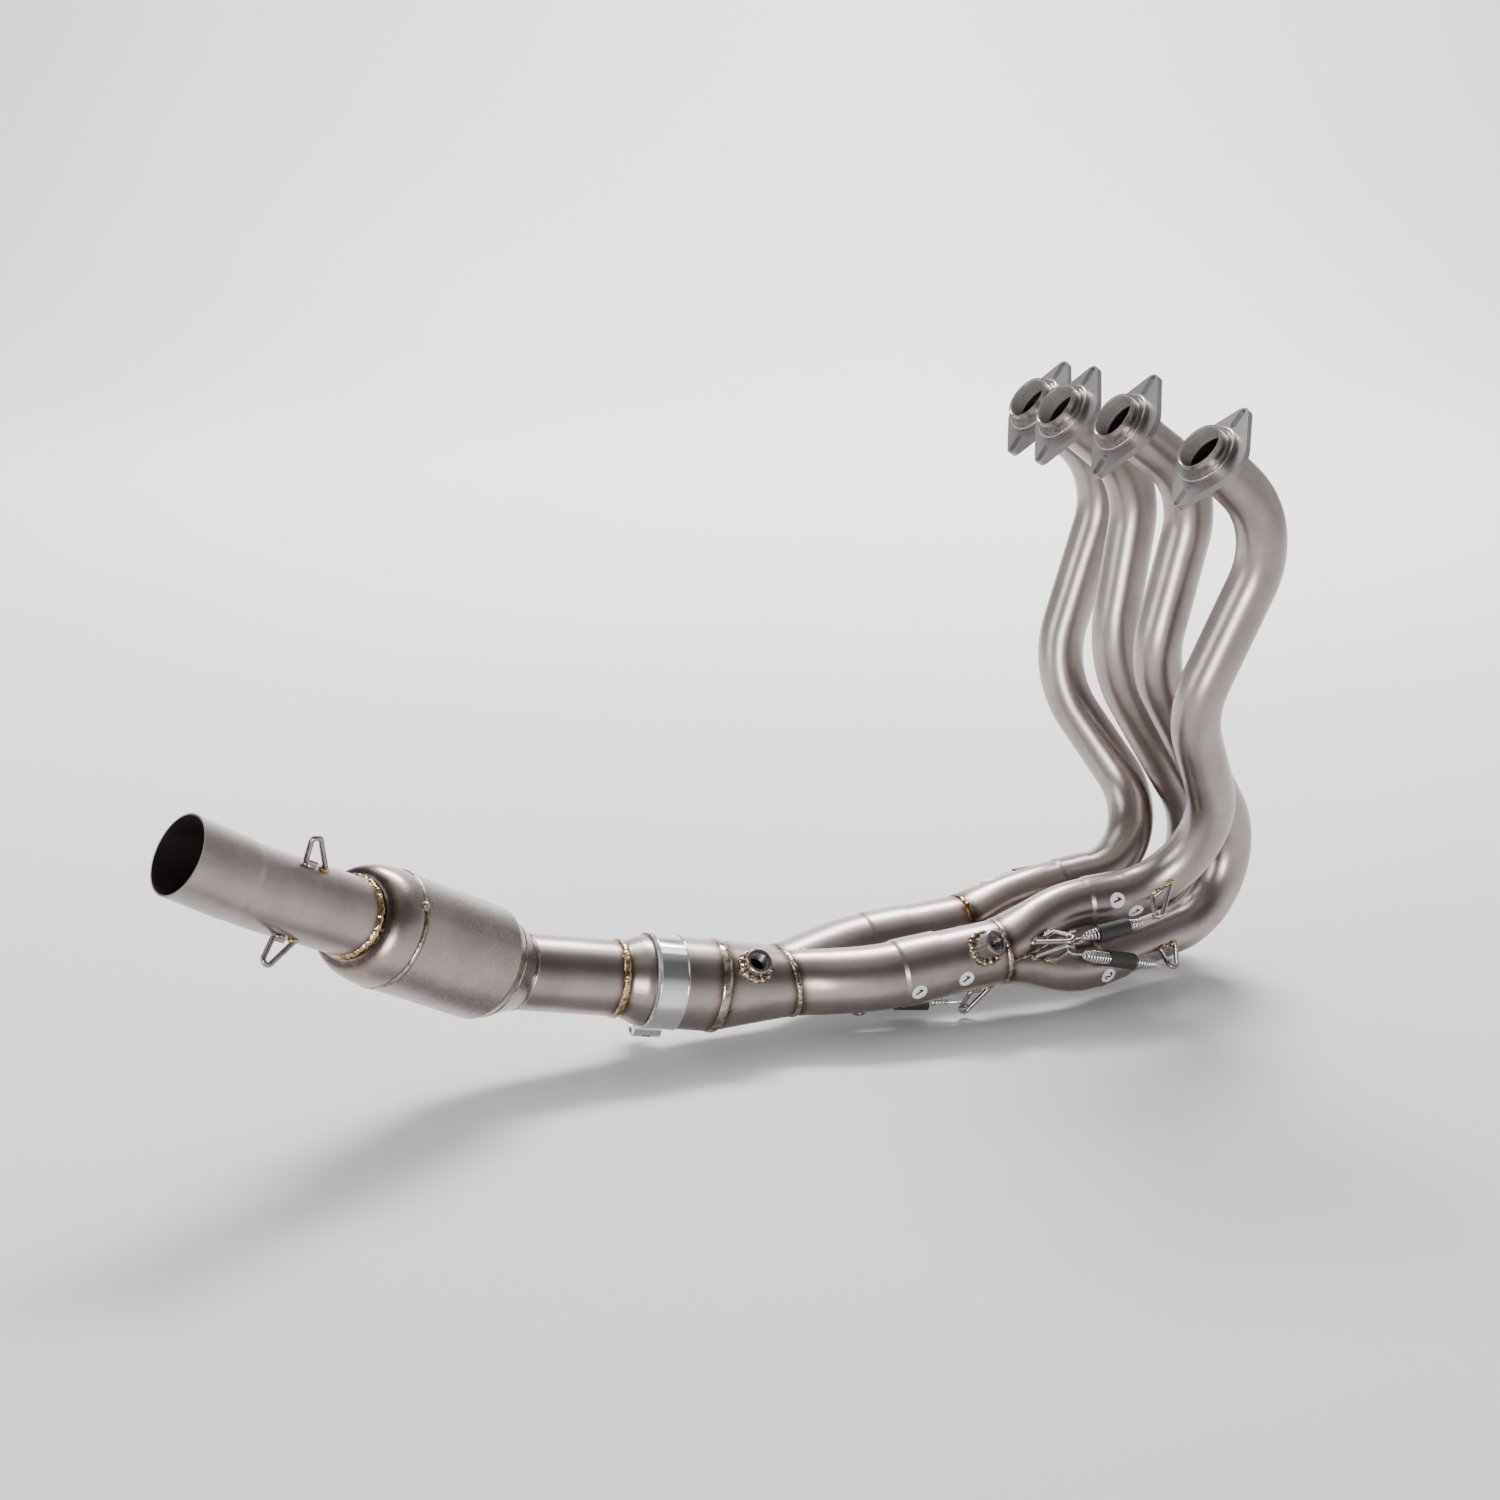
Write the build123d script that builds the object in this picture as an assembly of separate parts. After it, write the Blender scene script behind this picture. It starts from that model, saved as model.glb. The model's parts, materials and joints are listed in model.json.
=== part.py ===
from build123d import *
from math import cos, radians, sin, sqrt
import os

# Four-into-two-into-one exhaust header with its collector and link pipe, in millimetres.
# The origin is the centre of the rim of port 1. +X is forwards, +Y runs across the engine
# from port 1 to port 4, and +Z is up. Gas runs from the ports to the outlet at the rear.

# Header tubes, one for each cylinder
header_radius = 19.05
header_wall = 1.2
port_1 = (0, 0, 0)
port_2 = (-20, 86, 12)
port_3 = (-19, 172, 9)
port_4 = (6, 258, 2)
# The two free corners of each header tube, from the port down
header_corners_1 = [(77, 2, -65), (23, 27, -210)]
header_corners_2 = [(61, 86, -46), (26, 88, -186)]
header_corners_3 = [(63, 172, -53), (39, 170, -202)]
header_corners_4 = [(91, 258, -64), (37, 258, -232)]
# How far the last corner of each header tube lies ahead of the mouth of its socket
header_lead_1 = 101
header_lead_2 = 178
header_lead_3 = 148
header_lead_4 = 87
# Bend radii of the three corners
header_bends_1 = [71, 68, 73]
header_bends_2 = [61, 67, 62]
header_bends_3 = [67, 114, 73]
header_bends_4 = [69, 92, 63]

# Turned collar on the end of each header tube
collar_bore = 17.3
lip_length = 6
lip_round = 0.8
step_radius = 21.8
step_length = 3
ring_radius = 24.6
ring_length = 4.6
ring_round = 1.2

# Loose two-bolt flange plate behind each collar
flange_clearance = 0.8
flange_thickness = 5
flange_half_width = 42.8
flange_tip_round = 8.3
flange_side_round = 23.5
slot_spacing = 70
slot_length = 16.5
slot_width = 7
# From the end of each slot to the point where the plate's edges would meet
slot_edge = 5.95
# Each loose plate has settled at its own angle round its tube
flange_turns = (0, 1.5, 5, 6)

# Slip joints: a plain male end inside an expanded socket
slip_clearance = 0.2
socket_wall = 1.0
flare_length = 3
header_socket_depth = 27
header_insert = 22
secondary_socket_depth = 34
secondary_insert = 28

# Merges of two header tubes into one secondary tube
secondary_radius = 25.4
secondary_wall = 1.2
stub_offset = 6.35
stub_spread = 13
stub_start_reach = 34
stub_end_reach = 30
merge_sections = 7
merge_round_share = 0.55
merge_near = (-103, 90, -404.5)
merge_far = (-97, 162, -408.5)
merge_yaw_near = -3
merge_yaw_far = 2
merge_pitch_near = 4.5
merge_pitch_far = 1.5
secondary_length_near = 52
secondary_length_far = 53
# Mouths of the four header sockets and the way each one faces
socket_pitch = 4.5
mouth_1 = (4.6, 88, -373.3)
mouth_2 = (5, 88, -421.7)
mouth_3 = (26.4, 162, -430)
mouth_4 = (20.4, 162, -381.9)
socket_yaw_1 = -7.4
socket_yaw_2 = 13.8
socket_yaw_3 = -0.4
socket_yaw_4 = 1

# Branches that bring the two secondary tubes together in the twin opening
branch_offset = 7.3
branch_spread = 20
branch_start_reach = 30
branch_end_reach = 26
twin_centre = (-271, 126.5, -415)
twin_pitch = 2

# Collector body, from the twin tubes to one round tube
sleeve_radius = 35
sleeve_wall = 1.0
body_wall = 1.2
body_end = (-330.5, 127, -410)
round_share = 150

# Clamped slip joint: slotted sleeve, bell of the link pipe and band
link_yaw = 4.3
link_pitch = 11.6
sleeve_length = 57
sleeve_slots = 4
sleeve_slot_width = 2.4
sleeve_slot_length = 25
bell_wall = 1.2
bell_insert = 22
bell_shoulder = 4
bell_length = 20.5
bell_round = 16

# T-bolt band clamp: the ends of the band are rolled into lugs that hold two trunnions
band_gap = 0.1
band_thickness = 1.0
band_width = 22
band_setback = 3
band_opening = 24
lug_spread = 30
lug_drop = 39.5
clamp_turn = -35
trunnion_gap = 0.15
trunnion_length = 20
clamp_bolt_radius = 3
clamp_bolt_gap = 0.25
clamp_bolt_tail = 19
clamp_nut_width = 10
clamp_nut_height = 8
clamp_nut_gap = 0.2

# Link tube and expansion can
link_radius = 28.575
link_wall = 1.2
link_length = 78
can_yaw = 18
can_pitch = 29.3
can_radius = 43
can_wall = 1.0
can_length = 101
can_shoulder = 7
can_mouth_radius = 40
can_shoulder_round = 8
reducer_length = 30
can_drop = 2.4
dome_length = 30.5
dome_turn = 14
dome_power = 2.5

# Outlet tube with its expanded end
outlet_radius = 28.575
outlet_wall = 1.2
outlet_first_yaw = 18
outlet_first_pitch = 27.8
outlet_run = 82
outlet_yaw = 14
outlet_pitch = 32
outlet_bend = 200
outlet_tail = 14
outlet_end_radius = 29.2
outlet_flare = 5
outlet_end_length = 46

# Threaded sensor bosses
boss_radius = 10
boss_bore = 7.25
boss_height = 12
boss_edge = 0.7
boss_spigot = 8.8
boss_spigot_gap = 0.1
boss_near_depth = 7
boss_body_depth = 4
boss_near_back = 19
boss_near_clock = 36
boss_near_lean = 22
boss_body_share = 0.57
boss_body_clock = 43
boss_body_reach = 31

# Spring hooks: a closed loop of rod, welded at the foot that is away from its spring
rod_radius = 2
hook_lift = 2.2
hook_height = 22
hook_crown = 7
hook_reach = 17
hook_rake = 8
hook_return = 9
hook_crown_bend = 3.4
hook_heel_bend = 2.6
# Where each hook stands: how far along its tube, the clock of its foot, the clock of its loop,
# and the height at which its spring pulls. The clock runs from level on the near side, over
# the top, to the far side.
header_hooks = [(41, 0, -28, 19), (46, 0, -20, 15), (44, 180, 200, 15), (41, 180, 208, 19)]
stub_hooks = [(0.25, 0, -6, 17), (0.29, 29, 55, 17), (0.29, 151, 125, 17), (0.25, 180, 186, 17)]
secondary_hooks = [(10, -80, -110, 15), (10, 260, 290, 15)]
branch_hooks = [(0.45, -125, -125, 10), (0.45, 305, 305, 10)]
# The silencer's springs aren't here, so these have a place and one clock
outlet_hooks = [(45, 64), (48, -64)]

# Springs between the hooks, with a rubber sleeve on each
spring_wire = 1.0
coil_radius = 4.8
spring_gap = 0.6
spring_end = 13
spring_tail = 4
spring_sleeve_radius = 6.6
spring_sleeve_gap = 0.2
spring_sleeve_length = 27


def heading(yaw, pitch):
    # Unit direction, yaw from +X towards +Y and pitch above the level
    flat = cos(radians(pitch))
    return Vector(flat * cos(radians(yaw)), flat * sin(radians(yaw)), sin(radians(pitch)))


def facing(origin, direction, across=None):
    # Plane at origin with its Z along direction and its X level, or along a given vector
    if across is None:
        across = Vector(0, 0, 1).cross(direction)
    return Plane(origin=origin, x_dir=across, z_dir=direction)


def mitre(origin, normal, axis):
    # Plane across a tube whose axis isn't square to it; X is the long way of the cut
    across = axis - normal * axis.dot(normal)
    return Plane(origin=origin, x_dir=across, z_dir=normal)


def mitre_ellipse(radius, plane, axis):
    return plane * Ellipse(radius / abs(axis.dot(plane.z_dir)), radius)


def pipe(points, bends, radius, wall):
    # Tube of one section along straight runs and tangent arcs
    path = FilletPolyline(*points, radius=bends) if bends else Line(*points)
    section = facing(path @ 0, path % 0) * (Circle(radius) - Circle(radius - wall))
    return sweep(section, path=path)


def straight(plane, radius, wall, length):
    ring = Circle(radius) - Circle(radius - wall)
    return plane * extrude(ring, length)


def turned(outline, blends=None):
    # Solid of revolution about Z under an outline of (height, radius) points
    points = [(radius, 0, height) for height, radius in outline]
    edge = FilletPolyline(*points, radius=blends) if blends else Polyline(*points)
    closing = Polyline(points[-1], (0, 0, points[-1][2]), (0, 0, points[0][2]), points[0])
    return revolve(make_face(edge.edges() + closing.edges()), Axis.Z)


def turned_shell(outline, wall, blends=None):
    inner = [(height, radius - wall) for height, radius in outline]
    return turned(outline, blends) - turned(inner, blends)


def socket(mouth, direction, radius, wall, depth):
    # Expanded end whose mouth faces along direction, with the flare behind it
    bore = radius + slip_clearance
    outer = turned([(-depth - flare_length, radius), (-depth, bore + socket_wall), (0, bore + socket_wall)])
    inner = turned([(-depth - flare_length, radius - wall), (-depth, bore), (0, bore)])
    return facing(mouth, direction) * (outer - inner)


def header_points(port, corners, mouth, yaw, lead):
    way = heading(yaw, socket_pitch)
    last = Vector(*mouth) + way * lead
    end = Vector(*mouth) - way * header_insert
    return [Vector(*port)] + [Vector(*corner) for corner in corners] + [last, end]


def collar_depth():
    return lip_length + step_length + ring_length


def port_plane(points):
    # Rim plane of a port, with Z pointing out of the tube
    return facing(points[0], (points[0] - points[1]).normalized())


def header_start(points):
    # The tube starts behind its collar
    run = (points[1] - points[0]).normalized()
    return [points[0] + run * collar_depth()] + points[1:]


def header_tube(points, bends):
    return pipe(header_start(points), bends, header_radius, header_wall)


def port_collar(points):
    # Lip that enters the port, a step, and the wide ring that the flange plate pushes on
    lip = Pos(0, 0, -lip_length) * extrude(Circle(header_radius), lip_length)
    step = Pos(0, 0, -lip_length - step_length) * extrude(Circle(step_radius), step_length)
    ring = Pos(0, 0, -collar_depth()) * extrude(Circle(ring_radius), ring_length)
    ring = fillet(ring.edges().sort_by(Axis.Z)[-1], ring_round)
    bore = turned([(-collar_depth(), collar_bore), (-lip_round, collar_bore), (0, collar_bore + lip_round)])
    return port_plane(points) * (lip + step + ring - bore)


def port_flange(points, turn):
    half_length = (slot_spacing + slot_length) / 2 + slot_edge
    corners = [(half_length, 0), (0, flange_half_width), (-half_length, 0), (0, -flange_half_width)]
    outline = make_face(Polyline(*corners, close=True))
    tips = outline.vertices().sort_by(Axis.X)
    outline = fillet([tips[0], tips[-1]], flange_tip_round)
    sides = [v for v in outline.vertices().group_by(Axis.Y)[0] + outline.vertices().group_by(Axis.Y)[-1]]
    outline = fillet(sides, flange_side_round)
    for side in (-1, 1):
        outline -= Pos(side * slot_spacing / 2, 0) * SlotOverall(slot_length, slot_width)
    outline -= Circle(header_radius + flange_clearance)
    plate = extrude(outline, -flange_thickness)
    rim = port_plane(points)
    seat = rim.origin - rim.z_dir * collar_depth()
    up = rim.z_dir.cross(Vector(0, 1, 0))
    return Plane(origin=seat, x_dir=up, z_dir=rim.z_dir) * Rot(0, 0, turn) * plate


def merge_plane(centre, yaw, pitch):
    # X across the merge, Y up across the two stubs, Z forwards along the secondary tube
    return facing(centre, heading(yaw, pitch))


def merge_rings(line, plane, radius, wide_radius):
    # Cross sections from a wide oval at the merge to the round tube
    rings = []
    for step in range(merge_sections + 1):
        share = step / merge_sections
        ramp = min(1, share / merge_round_share)
        blend = ramp * ramp * (3 - 2 * ramp)
        width = wide_radius + (radius - wide_radius) * blend
        normal = (plane.z_dir * (1 - blend) + (line % share) * blend).normalized()
        across = plane.x_dir - normal * plane.x_dir.dot(normal)
        rings.append(Plane(origin=line @ share, x_dir=across, z_dir=normal) * Ellipse(width, radius))
    return rings


def merge_half(plane, side, line, radius, wide_radius, wall):
    # One of two tubes that meet at a plane: an oval at the merge, cut where it meets its twin
    outer = loft(merge_rings(line, plane, radius, wide_radius))
    inner = loft(merge_rings(line, plane, radius - wall, wide_radius - wall))
    reach = 4 * wide_radius
    waste = plane * Pos(0, -side * reach / 2, 0) * Box(reach, reach, 2 * reach)
    return outer - inner - waste


def merge_line(plane, side, offset, spread, start_reach, end, way, end_reach):
    # S-shaped centre line from beside the middle of a merge to a socket
    up = plane.y_dir * side
    start = plane.origin + up * offset
    leave = plane.z_dir * cos(radians(spread)) + up * sin(radians(spread))
    return Bezier(start, start + leave * start_reach, end - way * end_reach, end)


def stub_line(plane, side, mouth, yaw):
    way = heading(yaw, socket_pitch)
    end = Vector(*mouth) - way * (header_socket_depth + flare_length)
    return merge_line(plane, side, stub_offset, stub_spread, stub_start_reach, end, way, stub_end_reach)


def merge_stub(plane, side, mouth, yaw):
    # Stub from its half of the merge to the socket of one header tube
    line = stub_line(plane, side, mouth, yaw)
    tube = merge_half(plane, side, line, header_radius, secondary_radius, header_wall)
    return tube + socket(mouth, heading(yaw, socket_pitch), header_radius, header_wall, header_socket_depth)


def secondary_tube(plane, length):
    back = facing(plane.origin, -plane.z_dir)
    return straight(back, secondary_radius, secondary_wall, length + secondary_insert)


def twin_plane():
    # Front of the collector body: X up, Y across from the near branch to the far one
    return Plane(origin=twin_centre, x_dir=(0, 0, -1), z_dir=heading(0, twin_pitch))


def branch_line(plane, length, side):
    way = plane.z_dir
    end = plane.origin - way * (length + secondary_socket_depth + flare_length)
    return merge_line(
        twin_plane(), side, branch_offset, branch_spread, branch_start_reach, end, way, branch_end_reach
    )


def branch_tube(plane, length, side):
    # Branch from its half of the twin opening to the socket of one secondary tube
    line = branch_line(plane, length, side)
    tube = merge_half(twin_plane(), side, line, secondary_radius, secondary_radius, secondary_wall)
    mouth = plane.origin - plane.z_dir * length
    return tube + socket(mouth, plane.z_dir, secondary_radius, secondary_wall, secondary_socket_depth)


def link_way():
    # Rearward direction of the clamped joint and the link tube
    return heading(180 - link_yaw, link_pitch)


def body_section(plane, radius, half_gap, share):
    # Two round ends joined by two flats, or one circle split at the same four places
    half = share / 2
    low, high = [(radius * cos(radians(a)), radius * sin(radians(a))) for a in (-half, half)]
    right = ThreePointArc((half_gap + low[0], low[1]), (half_gap + radius, 0), (half_gap + high[0], high[1]))
    left = ThreePointArc((-half_gap - high[0], high[1]), (-half_gap - radius, 0), (-half_gap - low[0], low[1]))
    if half_gap:
        top = Line(right @ 1, left @ 0)
        bottom = Line(left @ 1, right @ 0)
    else:
        top = ThreePointArc(right @ 1, (0, radius), left @ 0)
        bottom = ThreePointArc(left @ 1, (0, -radius), right @ 0)
    return plane * make_face([right, top, left, bottom])


def body_loft(thinner):
    front = Plane(origin=twin_centre, x_dir=(0, 1, 0), z_dir=-heading(0, twin_pitch))
    rear = Plane(origin=body_end, x_dir=(0, 1, 0), z_dir=link_way())
    twin = body_section(front, secondary_radius - thinner, branch_offset, 180)
    single = body_section(rear, sleeve_radius - thinner, 0, round_share)
    return loft([twin, single])


def collector_body():
    return body_loft(0) - body_loft(body_wall)


def link_plane(distance):
    # Plane on the axis of the clamped joint, that far behind the collector body
    return facing(Vector(*body_end) + link_way() * distance, link_way())


def collector_sleeve():
    tube = straight(link_plane(0), sleeve_radius, sleeve_wall, sleeve_length)
    end = link_plane(sleeve_length)
    for number in range(sleeve_slots):
        turn = Rot(0, 0, 360 * (number + 0.5) / sleeve_slots)
        slot = Box(sleeve_slot_width, sleeve_radius, 2 * sleeve_slot_length)
        tube -= end * turn * Pos(0, sleeve_radius, 0) * slot
    return tube


def bell_outer_radius():
    return sleeve_radius - sleeve_wall - slip_clearance


def link_bell():
    wide = bell_outer_radius()
    outline = [
        (-bell_insert, wide),
        (bell_shoulder, wide),
        (bell_length - bell_shoulder, link_radius),
        (bell_length, link_radius),
    ]
    return link_plane(sleeve_length) * turned_shell(outline, bell_wall, [bell_round, bell_round / 4])


def link_start():
    return sleeve_length + bell_length


def link_end():
    return Vector(*body_end) + link_way() * (link_start() + link_length)


def can_way():
    return heading(180 + can_yaw, can_pitch)


def link_mitre():
    normal = (link_way() + can_way()).normalized()
    return mitre(link_end(), normal, link_way())


def link_tube():
    spare = 2 * link_radius
    tube = straight(link_plane(link_start()), link_radius, link_wall, link_length + spare)
    return split(tube, bisect_by=link_mitre(), keep=Keep.BOTTOM)


def can_front():
    # The reducer lets the can sit a little lower than the end of the link tube
    return link_end() + can_way() * reducer_length - Vector(0, 0, can_drop)


def can_reducer():
    plane = facing(can_front(), can_way())
    outer = loft([mitre_ellipse(link_radius, link_mitre(), link_way()), plane * Circle(can_mouth_radius)])
    inner = loft([
        mitre_ellipse(link_radius - link_wall, link_mitre(), link_way()),
        plane * Circle(can_mouth_radius - can_wall),
    ])
    return outer - inner


def can_shell():
    outline = [(0, can_mouth_radius), (can_shoulder, can_radius), (can_length, can_radius)]
    return facing(can_front(), can_way()) * turned_shell(outline, can_wall, [can_shoulder_round])


def can_rear():
    return can_front() + can_way() * can_length


def outlet_first_way():
    return heading(180 + outlet_first_yaw, outlet_first_pitch)


def outlet_start():
    return can_rear() + can_way() * dome_length


def outlet_mitre():
    return mitre(outlet_start(), dome_normal(), outlet_first_way())


def dome_normal():
    return heading(180 + can_yaw + dome_turn, can_pitch)


def dome_rings(thinner):
    rings = [facing(can_rear(), can_way()) * Circle(can_radius - thinner)]
    small = outlet_radius - thinner
    for share in (0.3, 0.6, 0.82, 0.95):
        normal = (can_way() * (1 - share) + dome_normal() * share).normalized()
        radius = small + (can_radius - outlet_radius) * (1 - share ** dome_power) ** (1 / dome_power)
        centre = can_rear() + can_way() * (dome_length * share)
        plane = mitre(centre, normal, can_way())
        rings.append(plane * Circle(radius))
    rings.append(mitre_ellipse(small, outlet_mitre(), outlet_first_way()))
    return rings


def can_dome():
    return loft(dome_rings(0)) - loft(dome_rings(can_wall))


def outlet_way():
    return heading(180 + outlet_yaw, outlet_pitch)


def outlet_corner():
    return outlet_start() + outlet_first_way() * outlet_run


def outlet_tube():
    corner = outlet_corner()
    tail = corner + outlet_way() * outlet_tail
    front = outlet_start() - outlet_first_way() * outlet_radius
    tube = pipe([front, corner, tail], [outlet_bend], outlet_radius, outlet_wall)
    tube = split(tube, bisect_by=outlet_mitre(), keep=Keep.TOP)
    outline = [
        (0, outlet_radius),
        (outlet_flare, outlet_end_radius),
        (outlet_flare + outlet_end_length, outlet_end_radius),
    ]
    return tube + facing(tail, outlet_way()) * turned_shell(outline, outlet_wall)


def boss(plane, depth, carrier):
    # Threaded boss on a curved carrier that shapes its foot, with a spigot through the wall
    blank = Pos(0, 0, -boss_radius) * extrude(Circle(boss_radius), boss_height + boss_radius)
    blank = plane * chamfer(blank.edges().sort_by(Axis.Z)[-1], boss_edge) - carrier
    spigot = Pos(0, 0, -depth) * extrude(Circle(boss_spigot), depth + boss_height / 2)
    bore = Pos(0, 0, -depth) * extrude(Circle(boss_bore), depth + boss_height)
    return blank + plane * spigot - plane * bore


def near_boss_plane(plane):
    # On the secondary tube, clocked from level towards the top and leaning forwards
    base = plane.origin - plane.z_dir * boss_near_back
    out = -plane.x_dir * cos(radians(boss_near_clock)) + plane.y_dir * sin(radians(boss_near_clock))
    lean = out * cos(radians(boss_near_lean)) + plane.z_dir * sin(radians(boss_near_lean))
    return facing(base + out * secondary_radius, lean, plane.z_dir)


def body_boss_plane():
    base = Vector(*twin_centre) + (Vector(*body_end) - Vector(*twin_centre)) * boss_body_share
    out = Vector(0, -cos(radians(boss_body_clock)), sin(radians(boss_body_clock)))
    return facing(base + out * boss_body_reach, out, Vector(1, 0, 0))


def boss_hole(plane):
    hole = Circle(boss_spigot + boss_spigot_gap)
    return plane * Pos(0, 0, -2 * boss_radius) * extrude(hole, 2 * boss_radius + boss_height)


def clamp_plane():
    # Middle of the band, with its lugs below
    middle = link_plane(sleeve_length - band_setback - band_width / 2)
    return middle * Rot(0, 0, clamp_turn)


def band_inner():
    return sleeve_radius + band_gap


def lug_radius():
    # The lugs hang on the band, so that the two share one thickness where they meet
    return sqrt(lug_drop ** 2 + (lug_spread / 2) ** 2) - band_inner()


def lug_place(side):
    return clamp_plane() * Pos(side * lug_spread / 2, -lug_drop, 0)


def clamp_band():
    outer = band_inner() + band_thickness
    ring = extrude(Circle(outer) - Circle(band_inner()), band_width / 2, both=True)
    gap = Pos(0, -outer, 0) * Box(band_opening, outer, 2 * band_width)
    band = clamp_plane() * (ring - gap)
    lug = extrude(Circle(lug_radius()) - Circle(lug_radius() - band_thickness), band_width / 2, both=True)
    bolt_room = 2 * (clamp_bolt_radius + 2 * clamp_bolt_gap)
    lug -= Box(3 * lug_radius(), bolt_room, bolt_room)
    for side in (-1, 1):
        band += lug_place(side) * lug
    return band


def trunnion():
    radius = lug_radius() - band_thickness - trunnion_gap
    return extrude(Circle(radius), trunnion_length / 2, both=True)


def clamp_bolt():
    # The head is a bar across the near lug, and the shank runs through the far one
    length = lug_spread + clamp_bolt_tail
    shank = Rot(0, -90, 0) * extrude(Circle(clamp_bolt_radius), length)
    return lug_place(1) * (trunnion() + shank)


def clamp_trunnion():
    hole = Rot(0, 90, 0) * extrude(Circle(clamp_bolt_radius + clamp_bolt_gap), lug_radius(), both=True)
    return lug_place(-1) * (trunnion() - hole)


def clamp_nut():
    flat = RegularPolygon(clamp_nut_width / 2, 6, major_radius=False)
    nut = extrude(flat - Circle(clamp_bolt_radius + clamp_bolt_gap), clamp_nut_height)
    return lug_place(-1) * Pos(-lug_radius() - clamp_nut_gap, 0, 0) * Rot(0, -90, 0) * nut


def clocked(way, clock):
    # Direction square to a forward way, by its clock
    near = way.cross(Vector(0, 0, 1)).normalized()
    up = near.cross(way).normalized()
    return near * cos(radians(clock)) + up * sin(radians(clock))


def rod(points, bends, radius):
    path = FilletPolyline(*points, radius=bends)
    return sweep(facing(path @ 0, path % 0) * Circle(radius), path=path)


def hook_plane(centre, way, towards, clock, loop_clock, carrier):
    # Foot of a hook where a line from inside the carrier comes out; X runs towards the spring
    out = clocked(way, clock)
    hits = [point for point, normal in carrier.find_intersection_points(Axis(centre, out))]
    foot = max(hits, key=lambda point: (point - centre).dot(out))
    return Plane(origin=foot, x_dir=way * towards, z_dir=clocked(way, loop_clock))


def spring_hook(plane, carrier):
    points = [
        (0, 0, hook_lift),
        (hook_reach + hook_rake - hook_crown, 0, hook_height),
        (hook_reach + hook_rake, 0, hook_height),
        (hook_reach, 0, hook_lift),
        (hook_reach - hook_return, 0, hook_lift),
    ]
    return plane * rod(points, [hook_crown_bend, hook_crown_bend, hook_heel_bend], rod_radius) - carrier


def hook_leg(plane, seat):
    # Point on the raked leg that a spring pulls on
    lean = hook_rake * (seat - hook_lift) / (hook_height - hook_lift)
    return plane.from_local_coords(Vector(hook_reach + lean, 0, seat))


def spring_line(start_plane, start_seat, end_plane, end_seat):
    # Ends of a spring beside the two legs that it pulls on, and how far it stands beside each
    start = hook_leg(start_plane, start_seat)
    end = hook_leg(end_plane, end_seat)
    pull = (end - start).normalized()
    beside = rod_radius + spring_gap + spring_wire
    first = pull.cross(start_plane.z_dir).normalized() * beside
    second = pull.cross(end_plane.z_dir).normalized() * beside
    return start + first, first, end + second, second


def spring_loop(start, beside, pull):
    # End of a spring, bent round the leg of a hook
    turn = beside.length
    corner = start - pull * turn
    points = [
        start + pull * (spring_end + spring_wire),
        corner,
        corner - beside * 2,
        corner - beside * 2 + pull * (turn + spring_tail),
    ]
    bend = turn - spring_gap
    return rod(points, [bend, bend], spring_wire)


def spring(start, first, end, second):
    # Plain body in place of the coils, with the real loops at its ends
    pull = (end - start).normalized()
    length = (end - start).length - 2 * spring_end
    coils = facing(start + pull * spring_end, pull) * extrude(Circle(coil_radius), length)
    return coils + spring_loop(start, first, pull) + spring_loop(end, second, -pull)


def spring_sleeve(start, end):
    pull = (end - start).normalized()
    middle = (start + end) / 2
    wall = spring_sleeve_radius - coil_radius - spring_sleeve_gap
    plane = facing(middle - pull * spring_sleeve_length / 2, pull)
    return straight(plane, spring_sleeve_radius, wall, spring_sleeve_length)


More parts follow.
